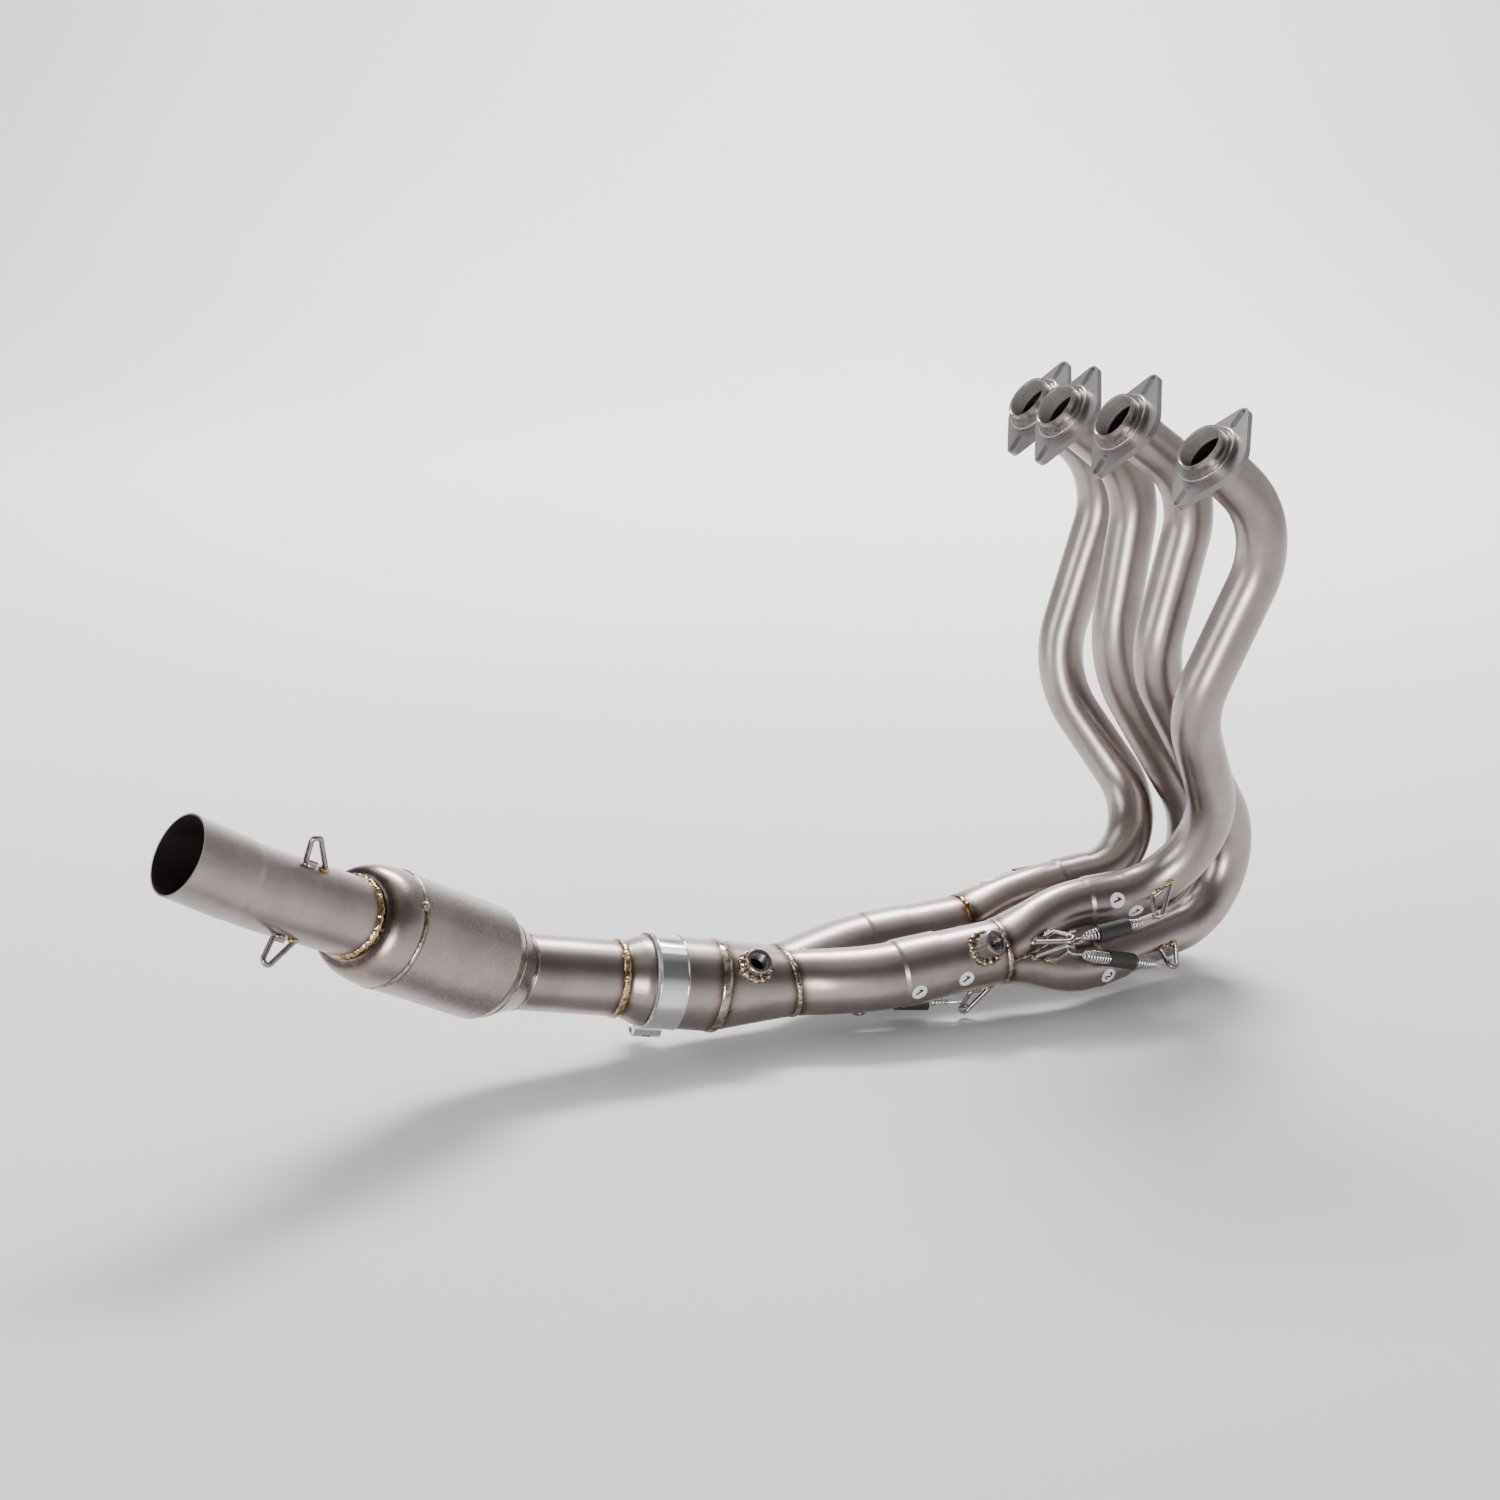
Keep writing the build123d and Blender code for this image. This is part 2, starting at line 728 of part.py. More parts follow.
def build():
    nodes = {}
    headers = [
        (header_points(port_1, header_corners_1, mouth_1, socket_yaw_1, header_lead_1), header_bends_1),
        (header_points(port_2, header_corners_2, mouth_2, socket_yaw_2, header_lead_2), header_bends_2),
        (header_points(port_3, header_corners_3, mouth_3, socket_yaw_3, header_lead_3), header_bends_3),
        (header_points(port_4, header_corners_4, mouth_4, socket_yaw_4, header_lead_4), header_bends_4),
    ]
    for number, (points, bends) in enumerate(headers, 1):
        nodes[f"header_tube_{number}"] = header_tube(points, bends)
        nodes[f"port_collar_{number}"] = port_collar(points)
        nodes[f"port_flange_{number}"] = port_flange(points, flange_turns[number - 1])
    near = merge_plane(merge_near, merge_yaw_near, merge_pitch_near)
    far = merge_plane(merge_far, merge_yaw_far, merge_pitch_far)
    # Plane, side, mouth and yaw of the stub that takes each header tube
    stubs = [
        (near, 1, mouth_1, socket_yaw_1),
        (near, -1, mouth_2, socket_yaw_2),
        (far, -1, mouth_3, socket_yaw_3),
        (far, 1, mouth_4, socket_yaw_4),
    ]
    for name, stub in zip(("near_upper", "near_lower", "far_lower", "far_upper"), stubs):
        nodes[f"merge_stub_{name}"] = merge_stub(*stub)
    # Plane, length and side of the branch that takes each secondary tube
    branches = [(near, secondary_length_near, -1), (far, secondary_length_far, 1)]
    for name, branch in zip(("near", "far"), branches):
        nodes[f"secondary_tube_{name}"] = secondary_tube(*branch[:2])
        nodes[f"branch_tube_{name}"] = branch_tube(*branch)
    nodes["collector_body"] = collector_body()
    nodes["collector_sleeve"] = collector_sleeve()
    nodes["link_bell"] = link_bell()
    nodes["link_tube"] = link_tube()
    nodes["can_reducer"] = can_reducer()
    nodes["can_shell"] = can_shell()
    nodes["can_dome"] = can_dome()
    nodes["outlet_tube"] = outlet_tube()
    nodes["clamp_band"] = clamp_band()
    nodes["clamp_bolt"] = clamp_bolt()
    nodes["clamp_trunnion"] = clamp_trunnion()
    nodes["clamp_nut"] = clamp_nut()
    add_bosses(nodes, near)
    add_springs(nodes, headers, stubs, branches)
    nodes["outlet_hooks"] = Compound(children=outlet_hook_pair())
    return nodes


def add_bosses(nodes, near):
    # Each boss stands on its carrier, and its spigot goes through the carrier's wall
    solid_tube = facing(near.origin, -near.z_dir) * extrude(Circle(secondary_radius), secondary_length_near)
    front = near_boss_plane(near)
    rear = body_boss_plane()
    nodes["sensor_boss_front"] = boss(front, boss_near_depth, solid_tube)
    nodes["sensor_boss_rear"] = boss(rear, boss_body_depth, body_loft(0))
    nodes["secondary_tube_near"] -= boss_hole(front)
    nodes["collector_body"] -= boss_hole(rear)


def header_hook_place(points, bends, place):
    # On the tube itself, measured along it from the mouth of its socket
    distance, clock, loop_clock, seat = place
    start = header_start(points)
    path = FilletPolyline(*start, radius=bends)
    reach = path.length - header_insert - distance
    centre = path.position_at(reach, position_mode=PositionMode.LENGTH)
    way = -path.tangent_at(reach, position_mode=PositionMode.LENGTH)
    carrier = sweep(facing(path @ 0, path % 0) * Circle(header_radius), path=path)
    return hook_plane(centre, way, -1, clock, loop_clock, carrier), carrier, seat


def line_hook_place(line, radius, wide_radius, plane, place):
    # On a stub or branch, at a share of its centre line
    share, clock, loop_clock, seat = place
    carrier = loft(merge_rings(line, plane, radius, wide_radius))
    return hook_plane(line @ share, line % share, 1, clock, loop_clock, carrier), carrier, seat


def secondary_hook_place(plane, length, place):
    distance, clock, loop_clock, seat = place
    carrier = facing(plane.origin, -plane.z_dir) * extrude(Circle(secondary_radius), length)
    centre = plane.origin - plane.z_dir * distance
    return hook_plane(centre, plane.z_dir, -1, clock, loop_clock, carrier), carrier, seat


def outlet_hook_pair():
    # They hold the springs of the silencer, so they face rearwards
    way = outlet_first_way()
    carrier = facing(outlet_start(), way) * extrude(Circle(outlet_radius), outlet_run)
    hooks = []
    for distance, clock in outlet_hooks:
        plane = hook_plane(outlet_start() + way * distance, -way, -1, clock, clock, carrier)
        hooks.append(spring_hook(plane, carrier))
    return hooks


def add_springs(nodes, headers, stubs, branches):
    # One spring across each slip joint, between a hook on either side of it
    header_places = [header_hook_place(*header, place) for header, place in zip(headers, header_hooks)]
    stub_places = [
        line_hook_place(stub_line(*stub), header_radius, secondary_radius, stub[0], place)
        for stub, place in zip(stubs, stub_hooks)
    ]
    tube_places = [
        secondary_hook_place(*branch[:2], place) for branch, place in zip(branches, secondary_hooks)
    ]
    branch_places = [
        line_hook_place(branch_line(*branch), secondary_radius, secondary_radius, twin_plane(), place)
        for branch, place in zip(branches, branch_hooks)
    ]
    groups = {
        "header_hooks": header_places,
        "stub_hooks": stub_places,
        "secondary_hooks": tube_places,
        "branch_hooks": branch_places,
    }
    for name, places in groups.items():
        nodes[name] = Compound(children=[spring_hook(plane, carrier) for plane, carrier, seat in places])
    front = [
        spring_line(stub[0], stub[2], header[0], header[2])
        for stub, header in zip(stub_places, header_places)
    ]
    rear = [
        spring_line(branch[0], branch[2], tube[0], tube[2])
        for branch, tube in zip(branch_places, tube_places)
    ]
    nodes["header_springs"] = Compound(children=[spring(*line) for line in front])
    nodes["branch_springs"] = Compound(children=[spring(*line) for line in rear])
    sleeves = [spring_sleeve(start, end) for start, first, end, second in front + rear]
    nodes["spring_sleeves"] = Compound(children=sleeves)


os.makedirs("parts", exist_ok=True)
for name, shape in build().items():
    export_step(shape, f"parts/{name}.step")
    print(name, len(shape.solids()), round(shape.volume))
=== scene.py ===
import json
import math

import bpy
from mathutils import Matrix, Vector


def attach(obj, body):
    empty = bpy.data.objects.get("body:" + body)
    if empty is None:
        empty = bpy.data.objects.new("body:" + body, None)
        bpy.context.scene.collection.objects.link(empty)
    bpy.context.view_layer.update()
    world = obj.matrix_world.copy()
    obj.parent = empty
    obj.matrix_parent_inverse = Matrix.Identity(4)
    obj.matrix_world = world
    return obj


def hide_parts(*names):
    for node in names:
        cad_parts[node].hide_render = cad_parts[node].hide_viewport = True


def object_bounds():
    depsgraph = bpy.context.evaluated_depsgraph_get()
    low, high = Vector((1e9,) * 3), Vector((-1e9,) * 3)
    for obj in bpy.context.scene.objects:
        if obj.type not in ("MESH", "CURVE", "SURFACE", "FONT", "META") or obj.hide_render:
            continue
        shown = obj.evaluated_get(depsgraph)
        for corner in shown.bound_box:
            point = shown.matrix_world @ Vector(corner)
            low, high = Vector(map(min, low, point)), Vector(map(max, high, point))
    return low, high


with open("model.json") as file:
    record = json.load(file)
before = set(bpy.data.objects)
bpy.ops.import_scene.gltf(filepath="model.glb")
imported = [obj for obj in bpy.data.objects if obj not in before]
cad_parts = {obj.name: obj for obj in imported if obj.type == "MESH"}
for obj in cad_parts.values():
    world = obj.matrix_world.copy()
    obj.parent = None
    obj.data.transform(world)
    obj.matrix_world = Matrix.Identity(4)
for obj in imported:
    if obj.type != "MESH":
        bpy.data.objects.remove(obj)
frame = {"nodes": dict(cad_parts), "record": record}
nodes = frame["nodes"]
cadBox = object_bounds()
print("frame:", len(nodes), "nodes")


def clearSelection():
    bpy.ops.object.select_all(action="DESELECT")


def pick(piece):
    clearSelection()
    piece.select_set(True)
    bpy.context.view_layer.objects.active = piece


def edit(piece):
    pick(piece)
    bpy.ops.object.mode_set(mode="EDIT")


def leaveEdit():
    bpy.ops.object.mode_set(mode="OBJECT")


def applyPlace(piece):
    pick(piece)
    bpy.ops.object.transform_apply(location=True, rotation=True, scale=True)


def applyModifier(piece, name):
    pick(piece)
    bpy.ops.object.modifier_apply(modifier=name)


def copyNode(nodeName, newName):
    # a loose, merged copy of a CAD node, to trace or cut
    pick(nodes[nodeName])
    bpy.ops.object.duplicate()
    piece = bpy.context.object
    piece.name = newName
    piece.parent = None
    for key in list(piece.keys()):
        if key.startswith("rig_"):
            del piece[key]
    edit(piece)
    bpy.ops.mesh.select_all(action="SELECT")
    bpy.ops.mesh.remove_doubles(threshold=0.00001)
    leaveEdit()
    return piece


def dropPiece(piece):
    bpy.data.objects.remove(piece, do_unlink=True)


def placement(place, along, side=None):
    # matrix that stands Z along a direction, with X towards a side
    zAxis = Vector(along).normalized()
    xAxis = Vector(side) if side else zAxis.orthogonal()
    xAxis = (xAxis - zAxis * xAxis.dot(zAxis)).normalized()
    yAxis = zAxis.cross(xAxis)
    turn = Matrix((xAxis, yAxis, zAxis)).transposed().to_4x4()
    return Matrix.Translation(Vector(place)) @ turn


def dress(piece, material):
    # material, body and slot of a finished piece
    piece.data.materials.clear()
    piece.data.materials.append(material)
    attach(piece, "root")


def smooth(piece, angle=35):
    pick(piece)
    bpy.ops.object.shade_smooth_by_angle(angle=math.radians(angle))


def linkNodes(tree, *pairs):
    for output, target in pairs:
        tree.links.new(output, target)


def mathNode(tree, operation, first, second=None):
    node = tree.nodes.new("ShaderNodeMath")
    node.operation = operation
    for socket, value in zip(node.inputs, (first, second)):
        if value is None:
            continue
        if isinstance(value, (int, float)):
            socket.default_value = value
        else:
            tree.links.new(value, socket)
    return node.outputs[0]


def noiseNode(tree, coords, scale, detail=3.0, roughness=0.55):
    node = tree.nodes.new("ShaderNodeTexNoise")
    node.inputs["Scale"].default_value = scale
    node.inputs["Detail"].default_value = detail
    node.inputs["Roughness"].default_value = roughness
    tree.links.new(coords, node.inputs["Vector"])
    return node.outputs["Fac"]


def rampNode(tree, value, stops):
    node = tree.nodes.new("ShaderNodeValToRGB")
    ramp = node.color_ramp
    while len(ramp.elements) > 1:
        ramp.elements.remove(ramp.elements[-1])
    ramp.elements[0].position = stops[0][0]
    ramp.elements[0].color = stops[0][1]
    for position, colour in stops[1:]:
        ramp.elements.new(position).color = colour
    tree.links.new(value, node.inputs["Fac"])
    return node.outputs


def mixColour(tree, factor, first, second, blend="MIX"):
    node = tree.nodes.new("ShaderNodeMix")
    node.data_type = "RGBA"
    node.blend_type = blend
    for name, value in (("Factor", factor), ("A", first), ("B", second)):
        socket = node.inputs[name]
        if isinstance(value, (int, float, tuple)):
            socket.default_value = value
        else:
            tree.links.new(value, socket)
    return node.outputs["Result"]


def grey(level, warmth=0.0):
    # warmth moves the grey towards brown
    return (level * (1 + warmth), level * (1 - warmth * 0.15), level * (1 - warmth * 0.5), 1)


def vectorNode(tree, operation, first, second=None):
    node = tree.nodes.new("ShaderNodeVectorMath")
    node.operation = operation
    tree.links.new(first, node.inputs[0])
    if second is not None:
        node.inputs[1].default_value = second
    return node.outputs


def spreadNode(tree, value, low, high):
    node = tree.nodes.new("ShaderNodeMapRange")
    node.inputs["To Min"].default_value = low
    node.inputs["To Max"].default_value = high
    tree.links.new(value, node.inputs["Value"])
    return node.outputs["Result"]


def bumpNode(tree, height, strength, distance, normal=None):
    node = tree.nodes.new("ShaderNodeBump")
    node.inputs["Strength"].default_value = strength
    node.inputs["Distance"].default_value = distance
    tree.links.new(height, node.inputs["Height"])
    if normal:
        tree.links.new(normal, node.inputs["Normal"])
    return node.outputs["Normal"]


def blankMaterial(name, metallic=1.0):
    material = bpy.data.materials.new(name)
    material.use_nodes = True
    tree = material.node_tree
    shader = tree.nodes["Principled BSDF"]
    shader.inputs["Metallic"].default_value = metallic
    coords = tree.nodes.new("ShaderNodeTexCoord").outputs["Object"]
    return material, tree, shader, coords


tintRamp = [  # heat colours from the weld outwards, alpha is how much shows
    (0.00, (0.050, 0.035, 0.030, 0.85)),
    (0.08, (0.095, 0.068, 0.072, 0.75)),
    (0.20, (0.150, 0.088, 0.056, 0.68)),
    (0.40, (0.260, 0.180, 0.110, 0.45)),
    (0.70, (0.330, 0.260, 0.200, 0.20)),
    (1.00, (0.350, 0.300, 0.260, 0.00)),
]


def tintDistance(tree, coords, weld):
    # distance from the edge of a weld's ring, as a share of how far its heat reached
    away = vectorNode(tree, "SUBTRACT", coords, weld["place"])[0]
    along = vectorNode(tree, "DOT_PRODUCT", away, Vector(weld["axis"]).normalized())["Value"]
    span = mathNode(tree, "ABSOLUTE", mathNode(tree, "SUBTRACT", along, weld["inset"]))
    span = mathNode(tree, "SUBTRACT", span, weld["width"] * 0.5)
    span = mathNode(tree, "MAXIMUM", span, 0.0)
    return mathNode(tree, "DIVIDE", span, weld["reach"])


# scales of the noises in all satin metals, and how much the clouds push the tint about
satin = {"broad": 22, "grain": 1500, "cloud": 130, "stain": grey(0.86, 0.02), "wander": 0.45}


def satinMetal(name, look, tints=()):
    # blasted tube or sheet: broad shade, fine grain and stains, and heat tint round its welds
    material, tree, shader, coords = blankMaterial(name)
    broad = noiseNode(tree, coords, look.get("broad", satin["broad"]), 4)
    grain = noiseNode(tree, coords, look.get("grain", satin["grain"]), 2, 0.7)
    cloud = noiseNode(tree, coords, satin["cloud"], 4, 0.65)
    body = rampNode(tree, broad, [(0.3, look["dark"]), (0.7, look["light"])])[0]
    speck = rampNode(tree, grain, [(0.35, grey(0.86)), (0.65, grey(1.0))])[0]
    colour = mixColour(tree, 0.55, body, speck, "MULTIPLY")
    stain = rampNode(tree, cloud, [(0.42, grey(1.0)), (0.75, satin["stain"])])[0]
    colour = mixColour(tree, 0.7, colour, stain, "MULTIPLY")
    if tints:
        nearest = tintDistance(tree, coords, tints[0])
        for tint in tints[1:]:
            nearest = mathNode(tree, "MINIMUM", nearest, tintDistance(tree, coords, tint))
        wander = mathNode(tree, "SUBTRACT", cloud, 0.5)
        wander = mathNode(tree, "MULTIPLY", wander, satin["wander"])
        nearest = mathNode(tree, "MAXIMUM", mathNode(tree, "ADD", nearest, wander), 0.0)
        heat, amount = rampNode(tree, nearest, tintRamp)
        colour = mixColour(tree, amount, colour, heat)
    normal = bumpNode(tree, grain, 0.12, 0.0004)
    normal = bumpNode(tree, broad, 0.10, 0.002, normal)
    linkNodes(
        tree,
        (colour, shader.inputs["Base Color"]),
        (spreadNode(tree, cloud, *look["roughness"]), shader.inputs["Roughness"]),
        (normal, shader.inputs["Normal"]),
    )
    return material


def turnedMetal(name, look, place, axis):
    # fine rings left by the lathe, across the axis of the piece
    material, tree, shader, coords = blankMaterial(name)
    away = vectorNode(tree, "SUBTRACT", coords, place)[0]
    along = vectorNode(tree, "DOT_PRODUCT", away, axis)["Value"]
    lathe = tree.nodes.new("ShaderNodeTexNoise")
    lathe.noise_dimensions = "1D"
    lathe.inputs["Scale"].default_value = look["rings"]
    lathe.inputs["Detail"].default_value = 3.0
    tree.links.new(along, lathe.inputs["W"])
    rings = lathe.outputs["Fac"]
    cloud = noiseNode(tree, coords, 160, 3)
    body = rampNode(tree, rings, [(0.35, look["dark"]), (0.65, look["light"])])[0]
    stain = rampNode(tree, cloud, [(0.4, grey(1.0)), (0.75, look["stain"])])[0]
    # the bore is duller than the turned outside: its distance from the axis is small
    girth = vectorNode(tree, "LENGTH", vectorNode(tree, "CROSS_PRODUCT", away, axis)[0])["Value"]
    outside = mathNode(tree, "GREATER_THAN", girth, look["bore"])
    linkNodes(
        tree,
        (mixColour(tree, 0.8, body, stain, "MULTIPLY"), shader.inputs["Base Color"]),
        (bumpNode(tree, rings, 0.35, 0.0004), shader.inputs["Normal"]),
        (spreadNode(tree, cloud, *look["roughness"]), shader.inputs["Roughness"]),
        (mathNode(tree, "MAXIMUM", outside, look["dull"]), shader.inputs["Metallic"]),
    )
    return material


# one look for each kind of metal, levels first and then how warm
satinTube = {"dark": grey(0.26, 0.15), "light": grey(0.36, 0.12), "roughness": (0.24, 0.36)}
collectorSheet = {"dark": grey(0.27, 0.15), "light": grey(0.36, 0.12), "roughness": (0.24, 0.34)}
canSheet = {"dark": grey(0.25, 0.15), "light": grey(0.34, 0.13), "roughness": (0.22, 0.33)}
flangePlate = {"dark": grey(0.27, 0.04), "light": grey(0.34, 0.03), "roughness": (0.38, 0.50),
               "grain": 2200}
turnedSteel = {"dark": grey(0.24, 0.10), "light": grey(0.44, 0.08), "roughness": (0.20, 0.32),
               "rings": 1100, "stain": grey(0.78, 0.04), "dull": 0.35, "lip": 0.0011}
hookRod = {"dark": grey(0.24, 0.10), "light": grey(0.40, 0.06), "roughness": (0.20, 0.34),
           "broad": 120}

# welds: node that carries the bead, place on the tube, way the tube runs, then the bead's own
# shift along that way, width and height, and how far its heat reached
welds = {
    "nearMerge": {"node": "secondary_tube_near", "place": (-0.1030, 0.0900, -0.4045),
                  "axis": (0.9956, -0.0522, 0.0785),
                  "inset": -0.0004, "width": 0.0050, "proud": 0.0012, "reach": 0.0100},
    "farMerge": {"node": "secondary_tube_far", "place": (-0.0970, 0.1620, -0.4085),
                 "axis": (0.9990, 0.0349, 0.0262),
                 "inset": -0.0004, "width": 0.0060, "proud": 0.0013, "reach": 0.0140},
    "twin": {"node": "collector_body", "place": (-0.2710, 0.1265, -0.4150),
             "axis": (0.9994, 0.0, 0.0349),
             "inset": -0.0005, "width": 0.0056, "proud": 0.0014, "reach": 0.0090},
    "bodyEnd": {"node": "collector_sleeve", "place": (-0.3305, 0.1270, -0.4100),
                "axis": (-0.9768, 0.0734, 0.2011),
                "inset": 0.0004, "width": 0.0082, "proud": 0.0010, "reach": 0.0100, "lumps": 0.2},
    "bell": {"node": "link_tube", "place": (-0.4062, 0.1327, -0.3944),
             "axis": (-0.9768, 0.0734, 0.2011),
             "inset": 0.0006, "width": 0.0064, "proud": 0.0015, "reach": 0.0075},
    "canRear": {"node": "outlet_tube", "place": (-0.6163, 0.0949, -0.3021),
                "axis": (-0.7396, -0.4621, 0.4894),
                "inset": 0.0018, "width": 0.0066, "proud": 0.0018, "reach": 0.0060},
    "domeSeam": {"node": "can_shell", "place": (-0.5910, 0.1031, -0.3170),
                 "axis": (-0.8294, -0.2695, 0.4894),
                 "inset": -0.0016, "width": 0.0034, "proud": 0.0010, "reach": 0.0030, "lumps": 0.4},
    "canFront": {"node": "can_reducer", "place": (-0.5073, 0.1303, -0.3665),
                 "axis": (-0.8294, -0.2695, 0.4894),
                 "inset": -0.0014, "width": 0.0022, "proud": 0.0006, "reach": 0.0030, "lumps": 0.3},
    "linkEnd": {"node": "link_tube", "place": (-0.4824, 0.1384, -0.3787),
                "axis": (-0.9293, -0.1009, 0.3553),
                "inset": -0.0014, "width": 0.0022, "proud": 0.0006, "reach": 0.0030, "lumps": 0.3},
}
# section of a bead: how far its foot is sunk, the size and height of its puddles, then stations
# across its width and how high each one stands
beadSection = {"foot": 0.0006, "puddle": 0.0036, "lumps": 0.6,
               "stations": ((-0.34, 0.72), (-0.12, 1.0), (0.12, 1.0), (0.34, 0.72), (0.5, -0.35))}


def ringBead(name, weld):
    # cut the tube's outline at the weld, then draw it out into a low crowned strip
    axis = Vector(weld["axis"]).normalized()
    place = Vector(weld["place"]) + axis * weld["inset"]
    bead = copyNode(weld["node"], name)
    edit(bead)
    bpy.ops.mesh.select_mode(type="VERT")
    bpy.ops.mesh.select_all(action="SELECT")
    bpy.ops.mesh.bisect(plane_co=place, plane_no=axis, clear_inner=True, clear_outer=True)
    leaveEdit()
    keepLongest(bead)
    centre = sum((vertex.co for vertex in bead.data.vertices), Vector()) / len(bead.data.vertices)
    size = max((vertex.co - centre).length for vertex in bead.data.vertices)
    across = axis * weld["width"]
    edit(bead)
    bpy.ops.mesh.select_all(action="SELECT")
    bpy.ops.mesh.subdivide(number_cuts=1)
    shift, lift = -0.5, 1 - beadSection["foot"] / size
    bpy.ops.transform.translate(value=across * shift)
    bpy.ops.transform.resize(value=(lift,) * 3, center_override=centre + across * shift)
    for station, crown in beadSection["stations"]:
        move = {"value": across * (station - shift)}
        bpy.ops.mesh.extrude_region_move(TRANSFORM_OT_translate=move)
        level = 1 + crown * weld["proud"] / size
        bpy.ops.transform.resize(value=(level / lift,) * 3, center_override=centre + across * station)
        shift, lift = station, level
    bpy.ops.mesh.select_all(action="SELECT")
    bpy.ops.mesh.normals_make_consistent(inside=False)
    leaveEdit()
    lumpy(bead, beadSection["puddle"], weld["proud"] * weld.get("lumps", beadSection["lumps"]))
    return bead


def keepLongest(piece):
    # a wall is cut in two loops: the inner one goes
    mesh = piece.data
    joined = {vertex.index: set() for vertex in mesh.vertices}
    for one in mesh.edges:
        first, second = one.vertices
        joined[first].add(second)
        joined[second].add(first)
    loops, seen = [], set()
    for start in joined:
        if start in seen:
            continue
        stack, loop = [start], []
        seen.add(start)
        while stack:
            index = stack.pop()
            loop.append(index)
            fresh = joined[index] - seen
            seen |= fresh
            stack += fresh
        loops.append(loop)

    def girth(loop):
        inside = set(loop)
        ends = [[mesh.vertices[index].co for index in one.vertices]
                for one in mesh.edges if one.vertices[0] in inside]
        return sum((first - second).length for first, second in ends)

    longest = set(max(loops, key=girth))
    edit(piece)
    bpy.ops.mesh.select_all(action="DESELECT")
    leaveEdit()
    for vertex in mesh.vertices:
        vertex.select = vertex.index not in longest
    edit(piece)
    bpy.ops.mesh.delete(type="VERT")
    leaveEdit()


def lumpy(piece, size, height):
    # puddle marks along a bead
    puddles = bpy.data.textures.new(piece.name + "Puddles", type="CLOUDS")
    puddles.noise_scale = size
    puddles.noise_depth = 1
    finer = piece.modifiers.new("finer", "SUBSURF")
    finer.levels = finer.render_levels = 2
    lumps = piece.modifiers.new("lumps", "DISPLACE")
    lumps.texture = puddles
    lumps.texture_coords = "LOCAL"
    lumps.strength = height
    lumps.mid_level = 0.5
    applyModifier(piece, "finer")
    applyModifier(piece, "lumps")
    smooth(piece, 60)


def beadMetal(name, colours, roughness):
    # weld metal: patches of heat colour under fine ripples
    material, tree, shader, coords = blankMaterial(name)
    patches = noiseNode(tree, coords, 170, 3, 0.6)
    ripples = noiseNode(tree, coords, 700, 2, 0.6)
    step = 0.4 / (len(colours) - 1)
    stops = [(0.30 + step * index, colour) for index, colour in enumerate(colours)]
    colour = rampNode(tree, patches, stops)[0]
    shade = rampNode(tree, ripples, [(0.35, grey(0.74)), (0.6, grey(1.0))])[0]
    linkNodes(
        tree,
        (mixColour(tree, 0.8, colour, shade, "MULTIPLY"), shader.inputs["Base Color"]),
        (bumpNode(tree, ripples, 0.3, 0.0004), shader.inputs["Normal"]),
    )
    shader.inputs["Roughness"].default_value = roughness
    return material


# colours that run into each other along a bead, then its roughness
goldBead = beadMetal("goldBead", [
    (0.09, 0.045, 0.02, 1), (0.42, 0.28, 0.13, 1), (0.60, 0.48, 0.28, 1), (0.16, 0.09, 0.05, 1),
], 0.16)
silverBead = beadMetal("silverBead", [
    (0.14, 0.10, 0.08, 1), (0.42, 0.37, 0.31, 1), (0.58, 0.54, 0.48, 1),
], 0.16)
blueBead = beadMetal("blueBead", [
    (0.05, 0.045, 0.09, 1), (0.27, 0.18, 0.11, 1), (0.55, 0.47, 0.36, 1), (0.08, 0.065, 0.15, 1),
], 0.16)
brownBead = beadMetal("brownBead", [
    (0.05, 0.025, 0.015, 1), (0.22, 0.10, 0.04, 1), (0.34, 0.20, 0.10, 1),
], 0.20)

weldFinish = {"farMerge": brownBead, "bell": goldBead, "canRear": goldBead}  # the others are silver
for name, weld in welds.items():
    dress(ringBead(name + "Bead", weld), weldFinish.get(name, silverBead))
print("ring welds done")

# materials of the nodes that a weld has coloured
nodeTints = {
    "secondary_tube_near": ["nearMerge"],
    "secondary_tube_far": ["farMerge"],
    "merge_stub_near_upper": ["nearMerge"],
    "merge_stub_near_lower": ["nearMerge"],
    "merge_stub_far_upper": ["farMerge"],
    "merge_stub_far_lower": ["farMerge"],
    "branch_tube_near": ["twin"],
    "branch_tube_far": ["twin"],
    "collector_body": ["twin", "bodyEnd"],
    "collector_sleeve": ["bodyEnd"],
    "link_tube": ["bell"],
    "link_bell": ["bell"],
    "outlet_tube": ["canRear"],
    "can_dome": ["canRear", "domeSeam"],
    "can_shell": ["domeSeam"],
}
lookOf = {"satin_tube": satinTube, "collector_sheet": collectorSheet, "can_sheet": canSheet,
          "flange_plate": flangePlate, "hook_rod": hookRod}
# turned nodes, and the mount that gives each one its axis and bore
turnedOf = {"port_collar_%d" % number: "port_%d" % number for number in range(1, 5)}
turnedOf.update({name: name for name in ("sensor_boss_front", "sensor_boss_rear")})
mounts = {mount["name"]: mount for mount in frame["record"]["mounts"]}


def blackRubber():
    material, tree, shader, coords = blankMaterial("blackRubber", 0.0)
    grain = noiseNode(tree, coords, 900, 3)
    colour = rampNode(tree, grain, [(0.3, grey(0.012)), (0.7, grey(0.030))])[0]
    linkNodes(tree, (colour, shader.inputs["Base Color"]),
              (bumpNode(tree, grain, 0.25, 0.0003), shader.inputs["Normal"]))
    shader.inputs["Roughness"].default_value = 0.5
    return material


